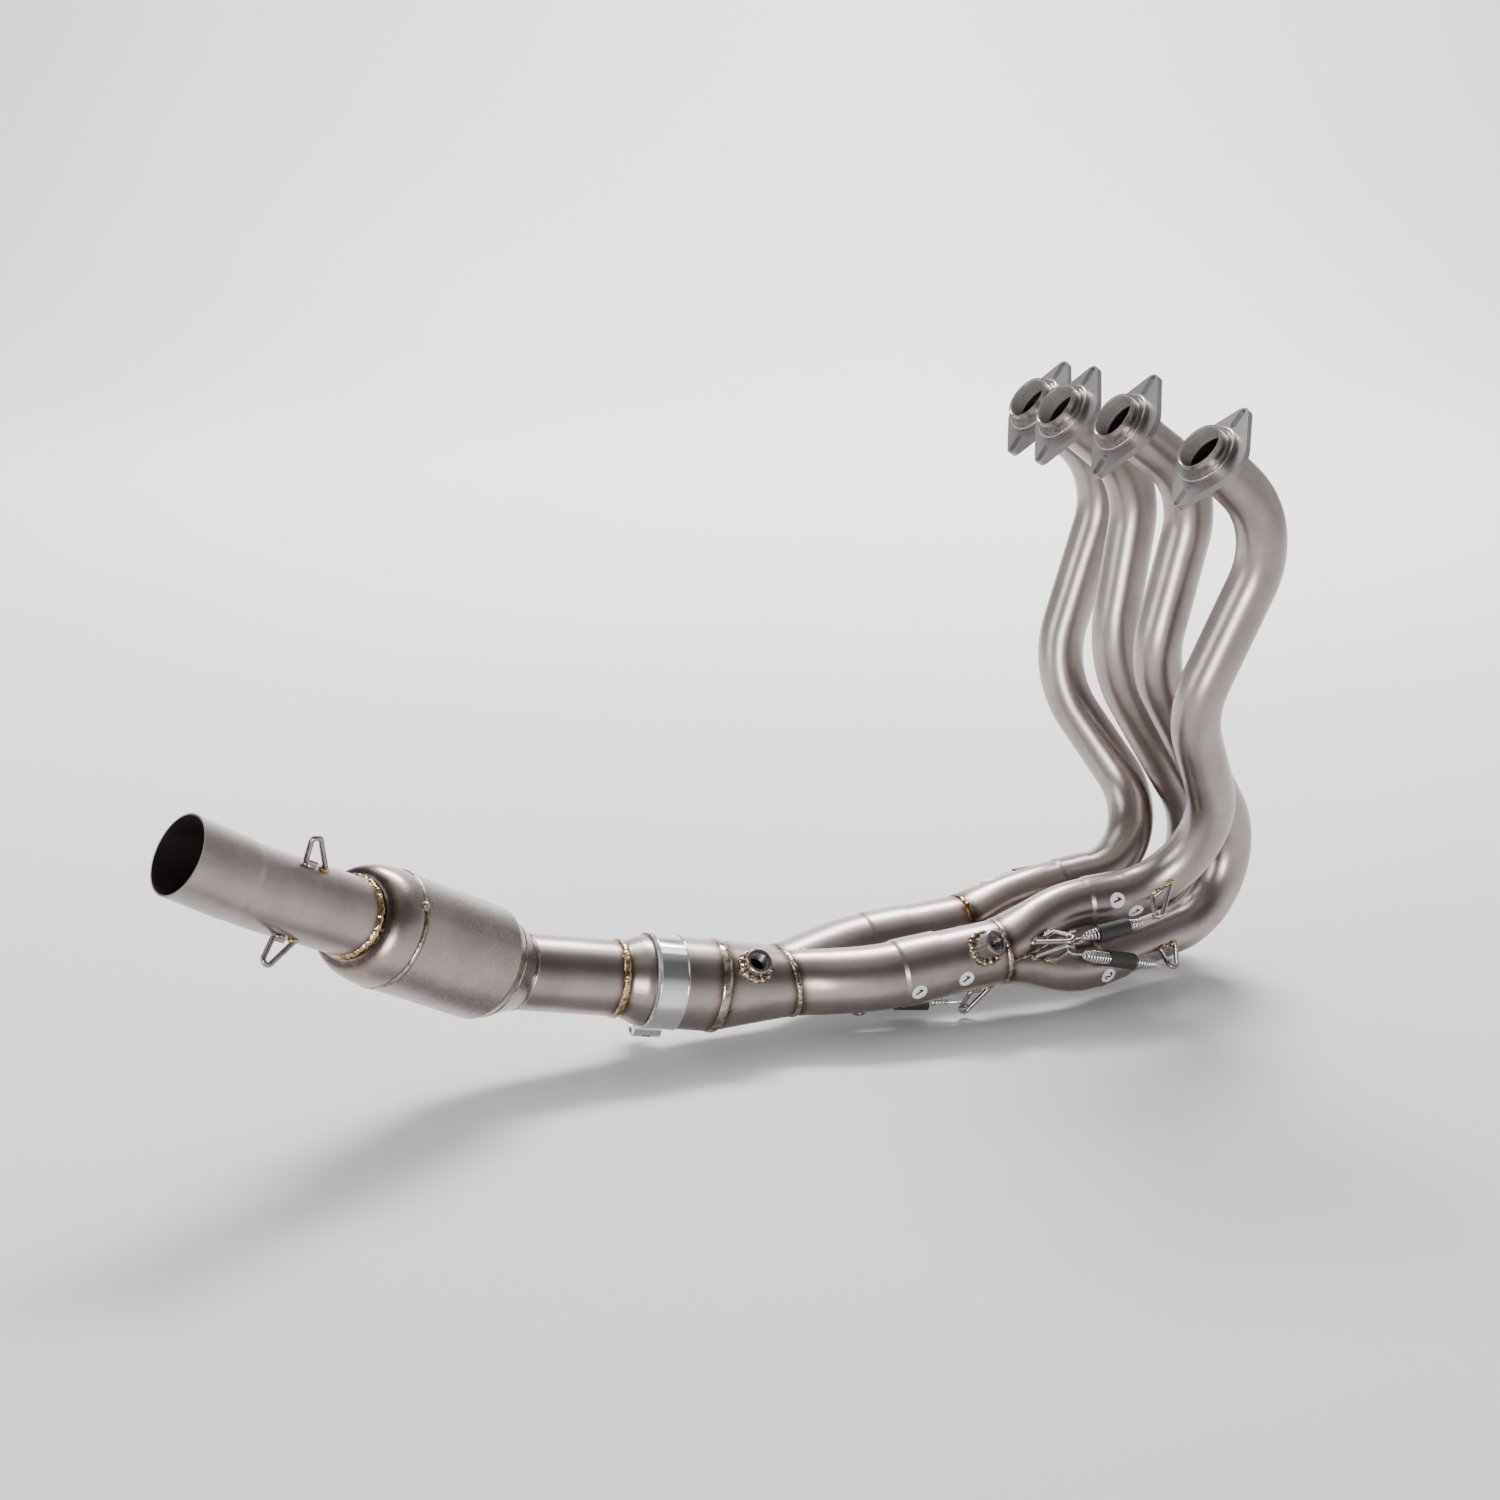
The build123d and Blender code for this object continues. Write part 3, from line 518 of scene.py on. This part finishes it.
def brightMetal(name, level, roughness, scale):
    # polished metal with a faint haze
    material, tree, shader, coords = blankMaterial(name)
    haze = noiseNode(tree, coords, scale, 3)
    colour = rampNode(tree, haze, [(0.3, grey(level * 0.88, 0.01)), (0.7, grey(level, 0.01))])[0]
    spread = spreadNode(tree, haze, roughness * 0.6, roughness * 1.5)
    linkNodes(tree, (colour, shader.inputs["Base Color"]), (spread, shader.inputs["Roughness"]),
              (bumpNode(tree, haze, 0.05, 0.0005), shader.inputs["Normal"]))
    return material


rubber = blackRubber()
polished = brightMetal("polishedBand", 0.72, 0.10, 60)
springWire = brightMetal("springWire", 0.74, 0.16, 400)
fixedFinish = {"black_rubber": rubber, "polished_band": polished, "spring_wire": springWire}
slotOf = {part["node"]: part["material_slot"] for part in frame["record"]["subparts"]}
shared = {}
for nodeName, node in nodes.items():
    slotName = slotOf[nodeName]
    tints = [welds[name] for name in nodeTints.get(nodeName, [])]
    if slotName in fixedFinish:
        material = fixedFinish[slotName]
    elif nodeName in turnedOf:
        mount = mounts[turnedOf[nodeName]]
        look = dict(turnedSteel, bore=mount["dims"]["r_mm"] / 1000 - turnedSteel["lip"])
        material = turnedMetal(nodeName + "Finish", look, mount["pos_m"], mount["axis"])
    elif tints:
        material = satinMetal(nodeName + "Finish", lookOf[slotName], tints)
    else:
        if slotName not in shared:
            shared[slotName] = satinMetal(slotName + "Finish", lookOf[slotName])
        material = shared[slotName]
    node.data.materials.clear()
    node.data.materials.append(material)
print("node finishes done")

# spot welds at the feet of the hooks: kind of hook, place, way along the tube, way out
hookWelds = {"length": 0.0042, "width": 0.0030, "height": 0.0022, "heel": 0.0125,
             "heelLength": 0.0052, "lift": 0.0006, "puddle": 0.0016, "lumps": 0.0011}
hookFeet = [
    # merge stubs: near upper, near lower, far lower, far upper
    ("stub", (-0.08300, 0.06764, -0.39153), (0.9386, 0.0462, 0.3418), (0.0845, -0.9916, -0.0982)),
    ("stub", (-0.08142, 0.06806, -0.40548), (0.9473, -0.2151, -0.2374), (0.0626, -0.6024, 0.7957)),
    ("stub", (-0.06750, 0.18089, -0.41165), (0.9652, 0.0090, -0.2613), (0.2087, 0.5755, 0.7907)),
    ("stub", (-0.07543, 0.18493, -0.39653), (0.9687, -0.0023, 0.2482), (0.0283, 0.9945, -0.1013)),
    # header tubes 1 to 4
    ("tube", (0.03404, 0.06108, -0.35811), (-0.7461, 0.2922, -0.5984), (-0.0604, -0.9246, -0.3762)),
    ("tube", (0.05408, 0.08044, -0.41809), (-0.9681, -0.2378, -0.0785), (0.2502, -0.9062, -0.3410)),
    ("tube", (0.06997, 0.18081, -0.42478), (-0.9554, -0.0012, -0.2954), (0.0999, 0.9398, -0.3268)),
    ("tube", (0.04973, 0.18687, -0.36832), (-0.7516, -0.3393, -0.5656), (-0.1213, 0.9140, -0.3872)),
    # secondary tubes: near, far
    ("tube", (-0.11123, 0.08601, -0.43022), (-0.9956, 0.0522, -0.0785), (0.0915, 0.3377, -0.9368)),
    ("tube", (-0.10649, 0.16608, -0.43377), (-0.9990, -0.0349, -0.0262), (0.0365, -0.3410, -0.9394)),
    # branches: near, far
    ("tube", (-0.23018, 0.11900, -0.43463), (0.9353, -0.3523, 0.0333), (0.2277, 0.5272, -0.8187)),
    ("tube", (-0.22791, 0.13449, -0.43392), (0.9396, 0.3378, 0.0545), (0.2361, -0.5246, -0.8179)),
    # outlet tube: upper, lower
    ("outlet", (-0.63894, 0.07439, -0.25839), (-0.8413, -0.2734, 0.4664), (0.5341, -0.2874, 0.7951)),
    ("outlet", (-0.66424, 0.06616, -0.30243), (-0.8413, -0.2734, 0.4664), (-0.2632, -0.5465, -0.7951)),
]


def spotWeld(name, place, along, out, length):
    # a squashed ball of weld, lumpy all over
    clearSelection()
    bpy.ops.mesh.primitive_uv_sphere_add(segments=24, ring_count=14, radius=1.0)
    spot = bpy.context.object
    spot.name = name
    edit(spot)
    bpy.ops.mesh.select_all(action="SELECT")
    bpy.ops.transform.resize(value=(length, hookWelds["width"], hookWelds["height"]))
    bpy.ops.mesh.select_all(action="DESELECT")
    leaveEdit()
    spot.matrix_world = placement(place, out, along)
    applyPlace(spot)
    lumpy(spot, hookWelds["puddle"], hookWelds["lumps"])
    return spot


def hookBeads():
    for number, (kind, place, along, out) in enumerate(hookFeet, 1):
        way = Vector(along)
        foot = Vector(place) + Vector(out).normalized() * hookWelds["lift"]
        front = spotWeld("hookWeld%d" % number, foot, way, out, hookWelds["length"])
        dress(front, blueBead if kind == "stub" else goldBead)
        heel = spotWeld("heelWeld%d" % number, foot + way * hookWelds["heel"], way, out,
                        hookWelds["heelLength"])
        dress(heel, silverBead if kind == "outlet" else goldBead)


# sensor bosses: a lumpy weld round the foot and a thread in the bore
bosses = [
    {"name": "frontBoss", "boss": "sensor_boss_front", "node": "secondary_tube_near",
     "place": (-0.12416, 0.07053, -0.39111), "axis": (0.2910, -0.7664, 0.5727)},
    {"name": "rearBoss", "boss": "sensor_boss_rear", "node": "collector_body",
     "place": (-0.30492, 0.10411, -0.39101), "axis": (0.0, -0.7314, 0.6820)},
]
bossSize = {"ring": 0.0116, "bead": 0.0029, "lumps": 14, "points": 136, "above": 0.006,
            "bore": 0.00725, "wire": 0.00042, "pitch": 0.0015, "turns": 8, "low": -0.0015}


def pathPiece(name, runs, thickness, closed=False, radii=None):
    # a round wire through points, one run for each list
    curve = bpy.data.curves.new(name, "CURVE")
    curve.dimensions = "3D"
    curve.bevel_depth = thickness
    curve.bevel_resolution = 3
    curve.use_fill_caps = not closed
    for run in runs:
        spline = curve.splines.new("POLY")
        spline.points.add(len(run) - 1)
        for index, point in enumerate(run):
            spline.points[index].co = (*point, 1)
            spline.points[index].radius = radii[index] if radii else 1.0
        spline.use_cyclic_u = closed
    piece = bpy.data.objects.new(name, curve)
    bpy.context.collection.objects.link(piece)
    pick(piece)
    bpy.ops.object.convert(target="MESH")
    smooth(bpy.context.object, 50)
    return bpy.context.object


def layOn(piece, nodeName, offset=0.0):
    # drop a piece along its own Z onto a node
    wrap = piece.modifiers.new("wrap", "SHRINKWRAP")
    wrap.target = nodes[nodeName]
    wrap.wrap_method = "PROJECT"
    wrap.use_project_z = True
    wrap.use_positive_direction = False
    wrap.use_negative_direction = True
    wrap.offset = offset
    applyModifier(piece, "wrap")
    applyPlace(piece)


def bossBead(boss):
    # a ring laid on the tube, thicker and thinner in turn
    axis = Vector(boss["axis"])
    clearSelection()
    bpy.ops.mesh.primitive_circle_add(vertices=bossSize["points"], radius=bossSize["ring"])
    trace = bpy.context.object
    trace.matrix_world = placement(Vector(boss["place"]) + axis * bossSize["above"], axis)
    layOn(trace, boss["node"])
    around = [vertex.co.copy() for vertex in trace.data.vertices]
    dropPiece(trace)
    radii = []
    for step in range(len(around)):
        puddle = abs(math.sin(math.pi * bossSize["lumps"] * step / len(around)))
        radii.append(0.70 + 0.34 * puddle + 0.10 * math.sin(step * 0.31))
    return pathPiece(boss["name"] + "Weld", [around], bossSize["bead"], True, radii)


def bossThread(boss):
    # one small ring of wire, drawn up the bore as a helix
    clearSelection()
    bpy.ops.mesh.primitive_circle_add(
        vertices=8, radius=bossSize["wire"], location=(bossSize["bore"], 0, bossSize["low"]),
        rotation=(math.radians(90), 0, 0),
    )
    thread = bpy.context.object
    thread.name = boss["name"] + "Thread"
    applyPlace(thread)
    helix = thread.modifiers.new("helix", "SCREW")
    helix.screw_offset = bossSize["pitch"]
    helix.iterations = bossSize["turns"]
    helix.steps = helix.render_steps = 48
    applyModifier(thread, "helix")
    thread.matrix_world = placement(boss["place"], boss["axis"])
    applyPlace(thread)
    edit(thread)
    bpy.ops.mesh.select_all(action="SELECT")
    bpy.ops.mesh.normals_make_consistent(inside=False)
    leaveEdit()
    smooth(thread, 60)
    return thread


# springs: the node that each set replaces, then for each spring where its two ends pull, and the
# way from the leg of the hook to each end
springs = {
    "headerCoils": ("header_springs", [
        ((-0.05971, 0.05222, -0.38891), (0.01543, 0.05180, -0.38282),
         (0.00028, 0.00038, -0.00357), (0.00028, 0.00134, -0.00333)),
        ((-0.05894, 0.05001, -0.39955), (0.03532, 0.06253, -0.42825),
         (-0.00036, -0.00287, -0.00214), (-0.00105, 0.00096, -0.00331)),
        ((-0.04098, 0.18794, -0.40228), (0.05138, 0.19590, -0.43296),
         (0.00080, -0.00294, 0.00193), (0.00109, 0.00102, 0.00327)),
        ((-0.05281, 0.20215, -0.38896), (0.02951, 0.19757, -0.38582),
         (-0.00012, 0.00037, 0.00358), (-0.00004, 0.00140, 0.00332)),
    ]),
    "branchCoils": ("branch_springs", [
        ((-0.20806, 0.11995, -0.44009), (-0.13083, 0.09543, -0.44476),
         (0.00100, 0.00277, 0.00206), (0.00109, 0.00319, 0.00126)),
        ((-0.20766, 0.13880, -0.44307), (-0.12919, 0.16340, -0.44965),
         (-0.00104, 0.00276, -0.00207), (-0.00110, 0.00321, -0.00121)),
    ]),
}
coil = {"wire": 0.00080, "radius": 0.0042, "narrow": 0.0021, "pitch": 0.0028, "leg": 0.0105,
        "tail": 0.004, "loop": 12, "steps": 20, "taper": 4.0, "closing": 0.5}


def springEnd(start, beside, pull):
    # tail, loop round the leg of the hook, and the start of the straight leg
    centre, turn = start - beside, beside.length
    points = [centre - beside + pull * coil["tail"]]
    for step in range(coil["loop"] + 1):
        angle = math.pi * (1 - step / coil["loop"])
        points.append(centre + beside * math.cos(angle) - pull * turn * math.sin(angle))
    return points


def springRun(start, end, first, second):
    # one end loop, coils that narrow towards both legs, and the other end loop
    start, end, first, second = (Vector(value) for value in (start, end, first, second))
    pull = (end - start).normalized()
    side = pull.orthogonal().normalized()
    other = pull.cross(side)
    length = (end - start).length - 2 * coil["leg"]
    turns = round(length / coil["pitch"])
    points = springEnd(start, first, pull)
    for step in range(turns * coil["steps"] + 1):
        share = step / (turns * coil["steps"])
        edge = min(share, 1 - share) * turns
        radius = coil["narrow"] + (coil["radius"] - coil["narrow"]) * min(edge / coil["taper"], 1.0)
        radius *= min(edge / coil["closing"], 1.0)
        angle = 2 * math.pi * share * turns
        around = side * radius * math.cos(angle) + other * radius * math.sin(angle)
        points.append(start + pull * (coil["leg"] + share * length) + around)
    points += reversed(springEnd(end, second, -pull))
    return points


# round number labels: digit, node below, place, way out, tilt in the picture
labels = [
    ("labelStubUpper", "1", "merge_stub_near_upper",
     (-0.0074, 0.0697, -0.3695), (-0.14, -0.97, 0.20), 22),
    ("labelHeader", "1", "header_tube_1",
     (0.0105, 0.0703, -0.3814), (-0.04, -0.86, -0.51), 28),
    ("labelStubLower", "2", "merge_stub_near_lower",
     (-0.0174, 0.0628, -0.4290), (-0.12, -0.95, -0.30), 28),
    ("labelBranch", "1", "branch_tube_near",
     (-0.1826, 0.0687, -0.4185), (-0.03, -0.96, -0.29), 30),
    ("labelSecondary", "1", "secondary_tube_near",
     (-0.1426, 0.0674, -0.4135), (-0.03, -0.97, -0.25), 38),
]
labelSize = {"radius": 0.0062, "film": 0.00015, "digit": 0.0095, "ink": 0.00034, "bold": 0.00045,
             "above": 0.006, "rings": 5, "ring": 0.18,
             "one": [(0.09, -0.36), (0.09, 0.36), (-0.05, 0.36), (-0.31, 0.13), (-0.22, 0.02),
                     (-0.09, 0.13), (-0.09, -0.36)]}
pictureRight, pictureUp = Vector((0.9135, -0.4067, 0.0)), Vector((0.112, 0.2518, 0.961))


def paperFinish(name, level):
    # film or ink, with a faint fibre
    material, tree, shader, coords = blankMaterial(name, 0.0)
    fibre = noiseNode(tree, coords, 1200, 2)
    colour = rampNode(tree, fibre, [(0.3, grey(level * 0.94, -0.01)), (0.7, grey(level, -0.01))])[0]
    linkNodes(tree, (colour, shader.inputs["Base Color"]),
              (bumpNode(tree, fibre, 0.05, 0.0002), shader.inputs["Normal"]))
    shader.inputs["Roughness"].default_value = 0.45
    return material


def drawnOne():
    # a plain stem with a slanted flag, as wide as the pen
    outline, size = labelSize["one"], labelSize["digit"]
    clearSelection()
    bpy.ops.mesh.primitive_circle_add(vertices=len(outline), radius=size, fill_type="NGON")
    figure = bpy.context.object
    for vertex, (x, y) in zip(figure.data.vertices, outline):
        vertex.co = (x * size, y * size, 0)
    return figure


def typedFigure(digit):
    # a digit in the plain built-in letters
    clearSelection()
    bpy.ops.object.text_add()
    figure = bpy.context.object
    figure.data.body = digit
    figure.data.size = labelSize["digit"]
    figure.data.offset = labelSize["bold"]
    figure.data.align_x = "CENTER"
    figure.data.align_y = "CENTER"
    figure.data.resolution_u = 4
    bpy.ops.object.convert(target="MESH")
    return bpy.context.object


def numberLabel(name, digit, nodeName, place, out, tilt, paper, ink):
    # a thin round film laid on the tube, and its digit on top
    out = Vector(out).normalized()
    tilt = math.radians(tilt)
    upward = pictureRight * math.cos(tilt) + pictureUp * math.sin(tilt)
    stand = placement(Vector(place) + out * labelSize["above"], out, upward.cross(out))
    clearSelection()
    bpy.ops.mesh.primitive_circle_add(vertices=56, radius=labelSize["radius"], fill_type="NGON")
    disc = bpy.context.object
    disc.name = name
    edit(disc)
    bpy.ops.mesh.select_mode(type="FACE")
    bpy.ops.mesh.select_all(action="SELECT")
    for _ in range(labelSize["rings"]):
        bpy.ops.mesh.inset(thickness=labelSize["radius"] * labelSize["ring"])
    leaveEdit()
    disc.matrix_world = stand
    layOn(disc, nodeName, labelSize["film"])
    film = disc.modifiers.new("film", "SOLIDIFY")
    film.thickness = labelSize["film"]
    film.offset = 1
    applyModifier(disc, "film")
    smooth(disc)
    dress(disc, paper)
    figure = drawnOne() if digit == "1" else typedFigure(digit)
    figure.name = name + "Digit"
    edit(figure)
    bpy.ops.mesh.select_all(action="SELECT")
    bpy.ops.mesh.quads_convert_to_tris()
    bpy.ops.mesh.subdivide(number_cuts=4)
    leaveEdit()
    figure.matrix_world = stand
    layOn(figure, nodeName, labelSize["ink"])
    dress(figure, ink)


# clamp: bright rolled edges on the band and a coiled strip beside it
clampTrim = {"place": (-0.37250, 0.13016, -0.40135), "axis": (-0.9768, 0.0734, 0.2011),
             "up": (0.1212, -0.5843, 0.8024), "radius": 0.0361, "edge": 0.0007, "half": 0.0108,
             "opening": 21, "steps": 120, "coilRadius": 0.0358, "coilAt": 0.0126, "coil": 0.0007,
             "coilLong": 1.6, "wire": 0.00032, "coilTurns": 160, "turnPoints": 7}


def rolledEdge(name, at):
    # a small disc spun round the band, up to the gap at its lugs
    opening = math.radians(clampTrim["opening"])
    clearSelection()
    bpy.ops.mesh.primitive_circle_add(
        vertices=12, radius=clampTrim["edge"], location=(clampTrim["radius"], 0, at),
        rotation=(math.radians(90), 0, 0),
    )
    rim = bpy.context.object
    rim.name = name
    applyPlace(rim)
    edit(rim)
    bpy.ops.mesh.select_all(action="SELECT")
    start = opening - math.radians(90)
    bpy.ops.transform.rotate(value=-start, orient_axis="Z", center_override=(0, 0, 0))
    bpy.ops.mesh.edge_face_add()
    bpy.ops.mesh.spin(steps=clampTrim["steps"], angle=2 * (math.pi - opening), center=(0, 0, 0),
                      axis=(0, 0, 1))
    bpy.ops.mesh.select_all(action="SELECT")
    bpy.ops.mesh.normals_make_consistent(inside=False)
    leaveEdit()
    across = Vector(clampTrim["up"]).cross(Vector(clampTrim["axis"]))
    rim.matrix_world = placement(clampTrim["place"], clampTrim["axis"], across)
    applyPlace(rim)
    smooth(rim, 60)
    dress(rim, polished)


def coiledStrip():
    # a fine wire wound round a ring beside the band
    turn = placement(clampTrim["place"], clampTrim["axis"], clampTrim["up"])
    count = clampTrim["coilTurns"] * clampTrim["turnPoints"]
    points = []
    for step in range(count):
        around = 2 * math.pi * step / count
        wind = around * clampTrim["coilTurns"]
        reach = clampTrim["coilRadius"] + clampTrim["coil"] * math.cos(wind)
        along = clampTrim["coilAt"] + clampTrim["coil"] * clampTrim["coilLong"] * math.sin(wind)
        points.append(turn @ Vector((reach * math.cos(around), reach * math.sin(around), along)))
    dress(pathPiece("coiledStrip", [points], clampTrim["wire"], True), polished)


# seams where two formed halves meet: a point inside, way forwards and way to one side in the
# plane of the seam, then where the bead starts, its thickness and how far it is sunk
seams = {
    "nearStubSeam": {"node": "merge_stub_near_upper", "place": (-0.1030, 0.0900, -0.4045),
                     "ahead": (0.9956, -0.0522, 0.0785),
                     "side": (0.0524, 0.9986, 0.0000), "start": 0.015, "thick": 0.0029, "sunk": 0.0006},
    "farStubSeam": {"node": "merge_stub_far_upper", "place": (-0.0970, 0.1620, -0.4085),
                    "ahead": (0.9990, 0.0349, 0.0262),
                    "side": (-0.0349, 0.9994, 0.0000), "start": 0.015, "thick": 0.0026, "sunk": 0.0012},
    "branchSeam": {"node": "branch_tube_near", "place": (-0.2710, 0.1265, -0.4150),
                   "ahead": (0.9994, 0.0000, 0.0349),
                   "side": (-0.0349, 0.0000, 0.9994), "start": 0.012, "thick": 0.0025, "sunk": 0.0012},
}
seamTrace = {"within": 0.0003, "step": 6, "furthest": 124, "puddle": 0.0020, "lumps": 0.0007}


def seamBead(name, seam):
    # the farthest points of the cut, seen from inside it, are the outside of the seam
    ahead, side = Vector(seam["ahead"]).normalized(), Vector(seam["side"]).normalized()
    normal = ahead.cross(side).normalized()
    cut = copyNode(seam["node"], name + "Cut")
    middle = sum((vertex.co for vertex in cut.data.vertices), Vector()) / len(cut.data.vertices)
    place = Vector(seam["place"])
    inward = normal if (middle - place).dot(normal) > 0 else -normal
    edit(cut)
    bpy.ops.mesh.select_mode(type="VERT")
    bpy.ops.mesh.select_all(action="SELECT")
    bpy.ops.mesh.bisect(plane_co=place + inward * seamTrace["within"], plane_no=normal,
                        clear_inner=True, clear_outer=True)
    leaveEdit()
    centre = place + ahead * seam["start"]
    farthest = {}
    for vertex in cut.data.vertices:
        away = vertex.co - centre
        across, forward = away.dot(side), away.dot(ahead)
        step = round(math.degrees(math.atan2(across, forward)) / seamTrace["step"])
        turned = abs(step) * seamTrace["step"]
        if turned > seamTrace["furthest"] or away.length < farthest.get(step, (0, None))[0]:
            continue
        farthest[step] = (away.length, vertex.co.copy())
    dropPiece(cut)
    points = [farthest[step][1] for step in sorted(farthest)]
    points = [point - (point - centre).normalized() * seam["sunk"] for point in points]
    inner = [(a + b * 2 + c) / 4 for a, b, c in zip(points, points[1:], points[2:])]
    bead = pathPiece(name, [[points[0], *inner, points[-1]]], seam["thick"])
    lumpy(bead, seamTrace["puddle"], seamTrace["lumps"])
    return bead


for name, seam in seams.items():
    dress(seamBead(name, seam), silverBead if name == "branchSeam" else blueBead)
# where the bead of the dome's seam starts and ends
domeKnot = {"place": (-0.56816, 0.07338, -0.29462), "along": (0.42, -0.83, 0.25),
            "out": (0.53, -0.69, 0.52), "length": 0.0040}
knot = spotWeld("domeSeamKnot", domeKnot["place"], domeKnot["along"], domeKnot["out"],
                domeKnot["length"])
dress(knot, silverBead)
print("seams done")
hookBeads()
for boss in bosses:
    dress(bossBead(boss), blueBead)
    dress(bossThread(boss), nodes[boss["boss"]].data.materials[0])
print("spot welds and bosses done")
for name, (nodeName, runs) in springs.items():
    wires = pathPiece(name, [springRun(*run) for run in runs], coil["wire"])
    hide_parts(nodeName)
    dress(wires, springWire)
paper, ink = paperFinish("palePaper", 0.80), paperFinish("blackInk", 0.012)
for label in labels:
    numberLabel(*label, paper, ink)
rolledEdge("bandRimFront", -clampTrim["half"])
rolledEdge("bandRimRear", clampTrim["half"])
coiledStrip()
print("springs, labels and clamp trim done")

# studio
studio = {"floorLevel": cadBox[0].z, "middle": (-0.2, 0.1), "width": 16.0, "depth": 9.0,
          "behind": 0.17, "below": 0.0005, "wall": 7.0, "fold": 2.6, "near": 0.01, "glow": 1.6,
          "camera": (-1.0285, -1.5119, 0.2872), "turn": 24.0, "tilt": 16.0, "lens": 60.0}
lamps = [
    {"name": "topBox", "place": (0.2, 1.1, 1.9), "aim": (-0.2, 0.1, -0.4),
     "size": (2.8, 1.2), "power": 25},
    {"name": "leftBox", "place": (-2.7, 0.3, 0.7), "aim": (-0.2, 0.1, -0.3),
     "size": (1.0, 1.6), "power": 24},
    {"name": "frontBox", "place": (-1.95, -2.35, -0.05), "aim": (-0.2, 0.1, -0.3),
     "size": (0.9, 1.0), "power": 58},
    {"name": "wallBox", "place": (1.0, 2.4, 2.8), "aim": (1.3, 3.4, -0.4),
     "size": (2.0, 1.4), "power": 400},
]


def buildStudio():
    # floor that folds up into the wall behind, square to the camera
    heading = math.radians(studio["turn"])
    clearSelection()
    bpy.ops.mesh.primitive_plane_add(size=1.0)
    floor = bpy.context.object
    floor.name = "floor"
    edit(floor)
    bpy.ops.mesh.select_all(action="SELECT")
    bpy.ops.transform.resize(value=(studio["width"], studio["depth"], 1))
    bpy.ops.transform.translate(value=(0, studio["depth"] * studio["behind"], 0))
    bpy.ops.mesh.select_all(action="DESELECT")
    leaveEdit()
    back = max(vertex.co.y for vertex in floor.data.vertices) - studio["near"]
    for vertex in floor.data.vertices:
        vertex.select = vertex.co.y > back
    for one in floor.data.edges:
        one.select = all(floor.data.vertices[index].co.y > back for index in one.vertices)
    edit(floor)
    bpy.ops.mesh.select_mode(type="EDGE")
    bpy.ops.mesh.extrude_region_move(TRANSFORM_OT_translate={"value": (0, 0, studio["wall"])})
    bpy.ops.mesh.select_all(action="DESELECT")
    leaveEdit()
    for one in floor.data.edges:
        first, second = (floor.data.vertices[index].co for index in one.vertices)
        one.select = min(first.y, second.y) > back and max(first.z, second.z) < studio["near"]
    edit(floor)
    bpy.ops.mesh.bevel(offset=studio["fold"], segments=24, profile=0.5)
    leaveEdit()
    floor.location = (*studio["middle"], studio["floorLevel"] - studio["below"])
    floor.rotation_euler = (0, 0, -heading)
    applyPlace(floor)
    smooth(floor, 60)
    material, tree, shader, coords = blankMaterial("paleFloor", 0.0)
    mist = noiseNode(tree, coords, 0.6, 2)
    colour = rampNode(tree, mist, [(0.3, grey(0.76)), (0.7, grey(0.80))])[0]
    linkNodes(tree, (colour, shader.inputs["Base Color"]))
    shader.inputs["Roughness"].default_value = 0.7
    floor.data.materials.append(material)


def buildLamps():
    # soft boxes round the part, and one that lights the wall
    for lamp in lamps:
        clearSelection()
        bpy.ops.object.light_add(type="AREA", location=lamp["place"])
        light = bpy.context.object
        light.name = lamp["name"]
        light.data.shape = "RECTANGLE"
        light.data.size, light.data.size_y = lamp["size"]
        light.data.energy = lamp["power"]
        aim = Vector(lamp["aim"]) - Vector(lamp["place"])
        light.rotation_euler = aim.to_track_quat("-Z", "Y").to_euler()


def buildRoom():
    # a soft room: dark at mid height behind the camera, lighter towards the wall
    heading = math.radians(studio["turn"])
    world = bpy.data.worlds.new("softRoom")
    bpy.context.scene.world = world
    world.use_nodes = True
    tree = world.node_tree
    way = tree.nodes.new("ShaderNodeTexCoord").outputs["Generated"]
    split = tree.nodes.new("ShaderNodeSeparateXYZ")
    tree.links.new(way, split.inputs[0])
    height = split.outputs["Z"]
    wallWay = (math.sin(heading), math.cos(heading), 0)
    toWall = vectorNode(tree, "DOT_PRODUCT", way, wallWay)["Value"]
    near = rampNode(tree, height, [(0.0, grey(0.62)), (0.12, grey(0.50)), (0.40, grey(0.12)),
                                   (0.80, grey(0.10)), (1.0, grey(0.42))])[0]
    far = rampNode(tree, height, [(0.0, grey(0.66)), (0.25, grey(0.52)), (0.60, grey(0.24)),
                                  (1.0, grey(0.36))])[0]
    share = rampNode(tree, mathNode(tree, "ADD", toWall, 0.5), [(0.35, grey(0.0)), (0.75, grey(1.0))])[0]
    background = tree.nodes["Background"]
    linkNodes(tree, (mixColour(tree, share, near, far), background.inputs["Color"]))
    background.inputs["Strength"].default_value = studio["glow"]


def buildCamera():
    # the view of the photograph
    clearSelection()
    bpy.ops.object.camera_add(location=studio["camera"])
    camera = bpy.context.object
    camera.rotation_euler = (math.radians(90 - studio["tilt"]), 0, math.radians(-studio["turn"]))
    camera.data.sensor_width = 36
    camera.data.lens = studio["lens"]
    camera.data.clip_end = 100
    bpy.context.scene.camera = camera


buildStudio()
buildLamps()
buildRoom()
buildCamera()
print("studio done")
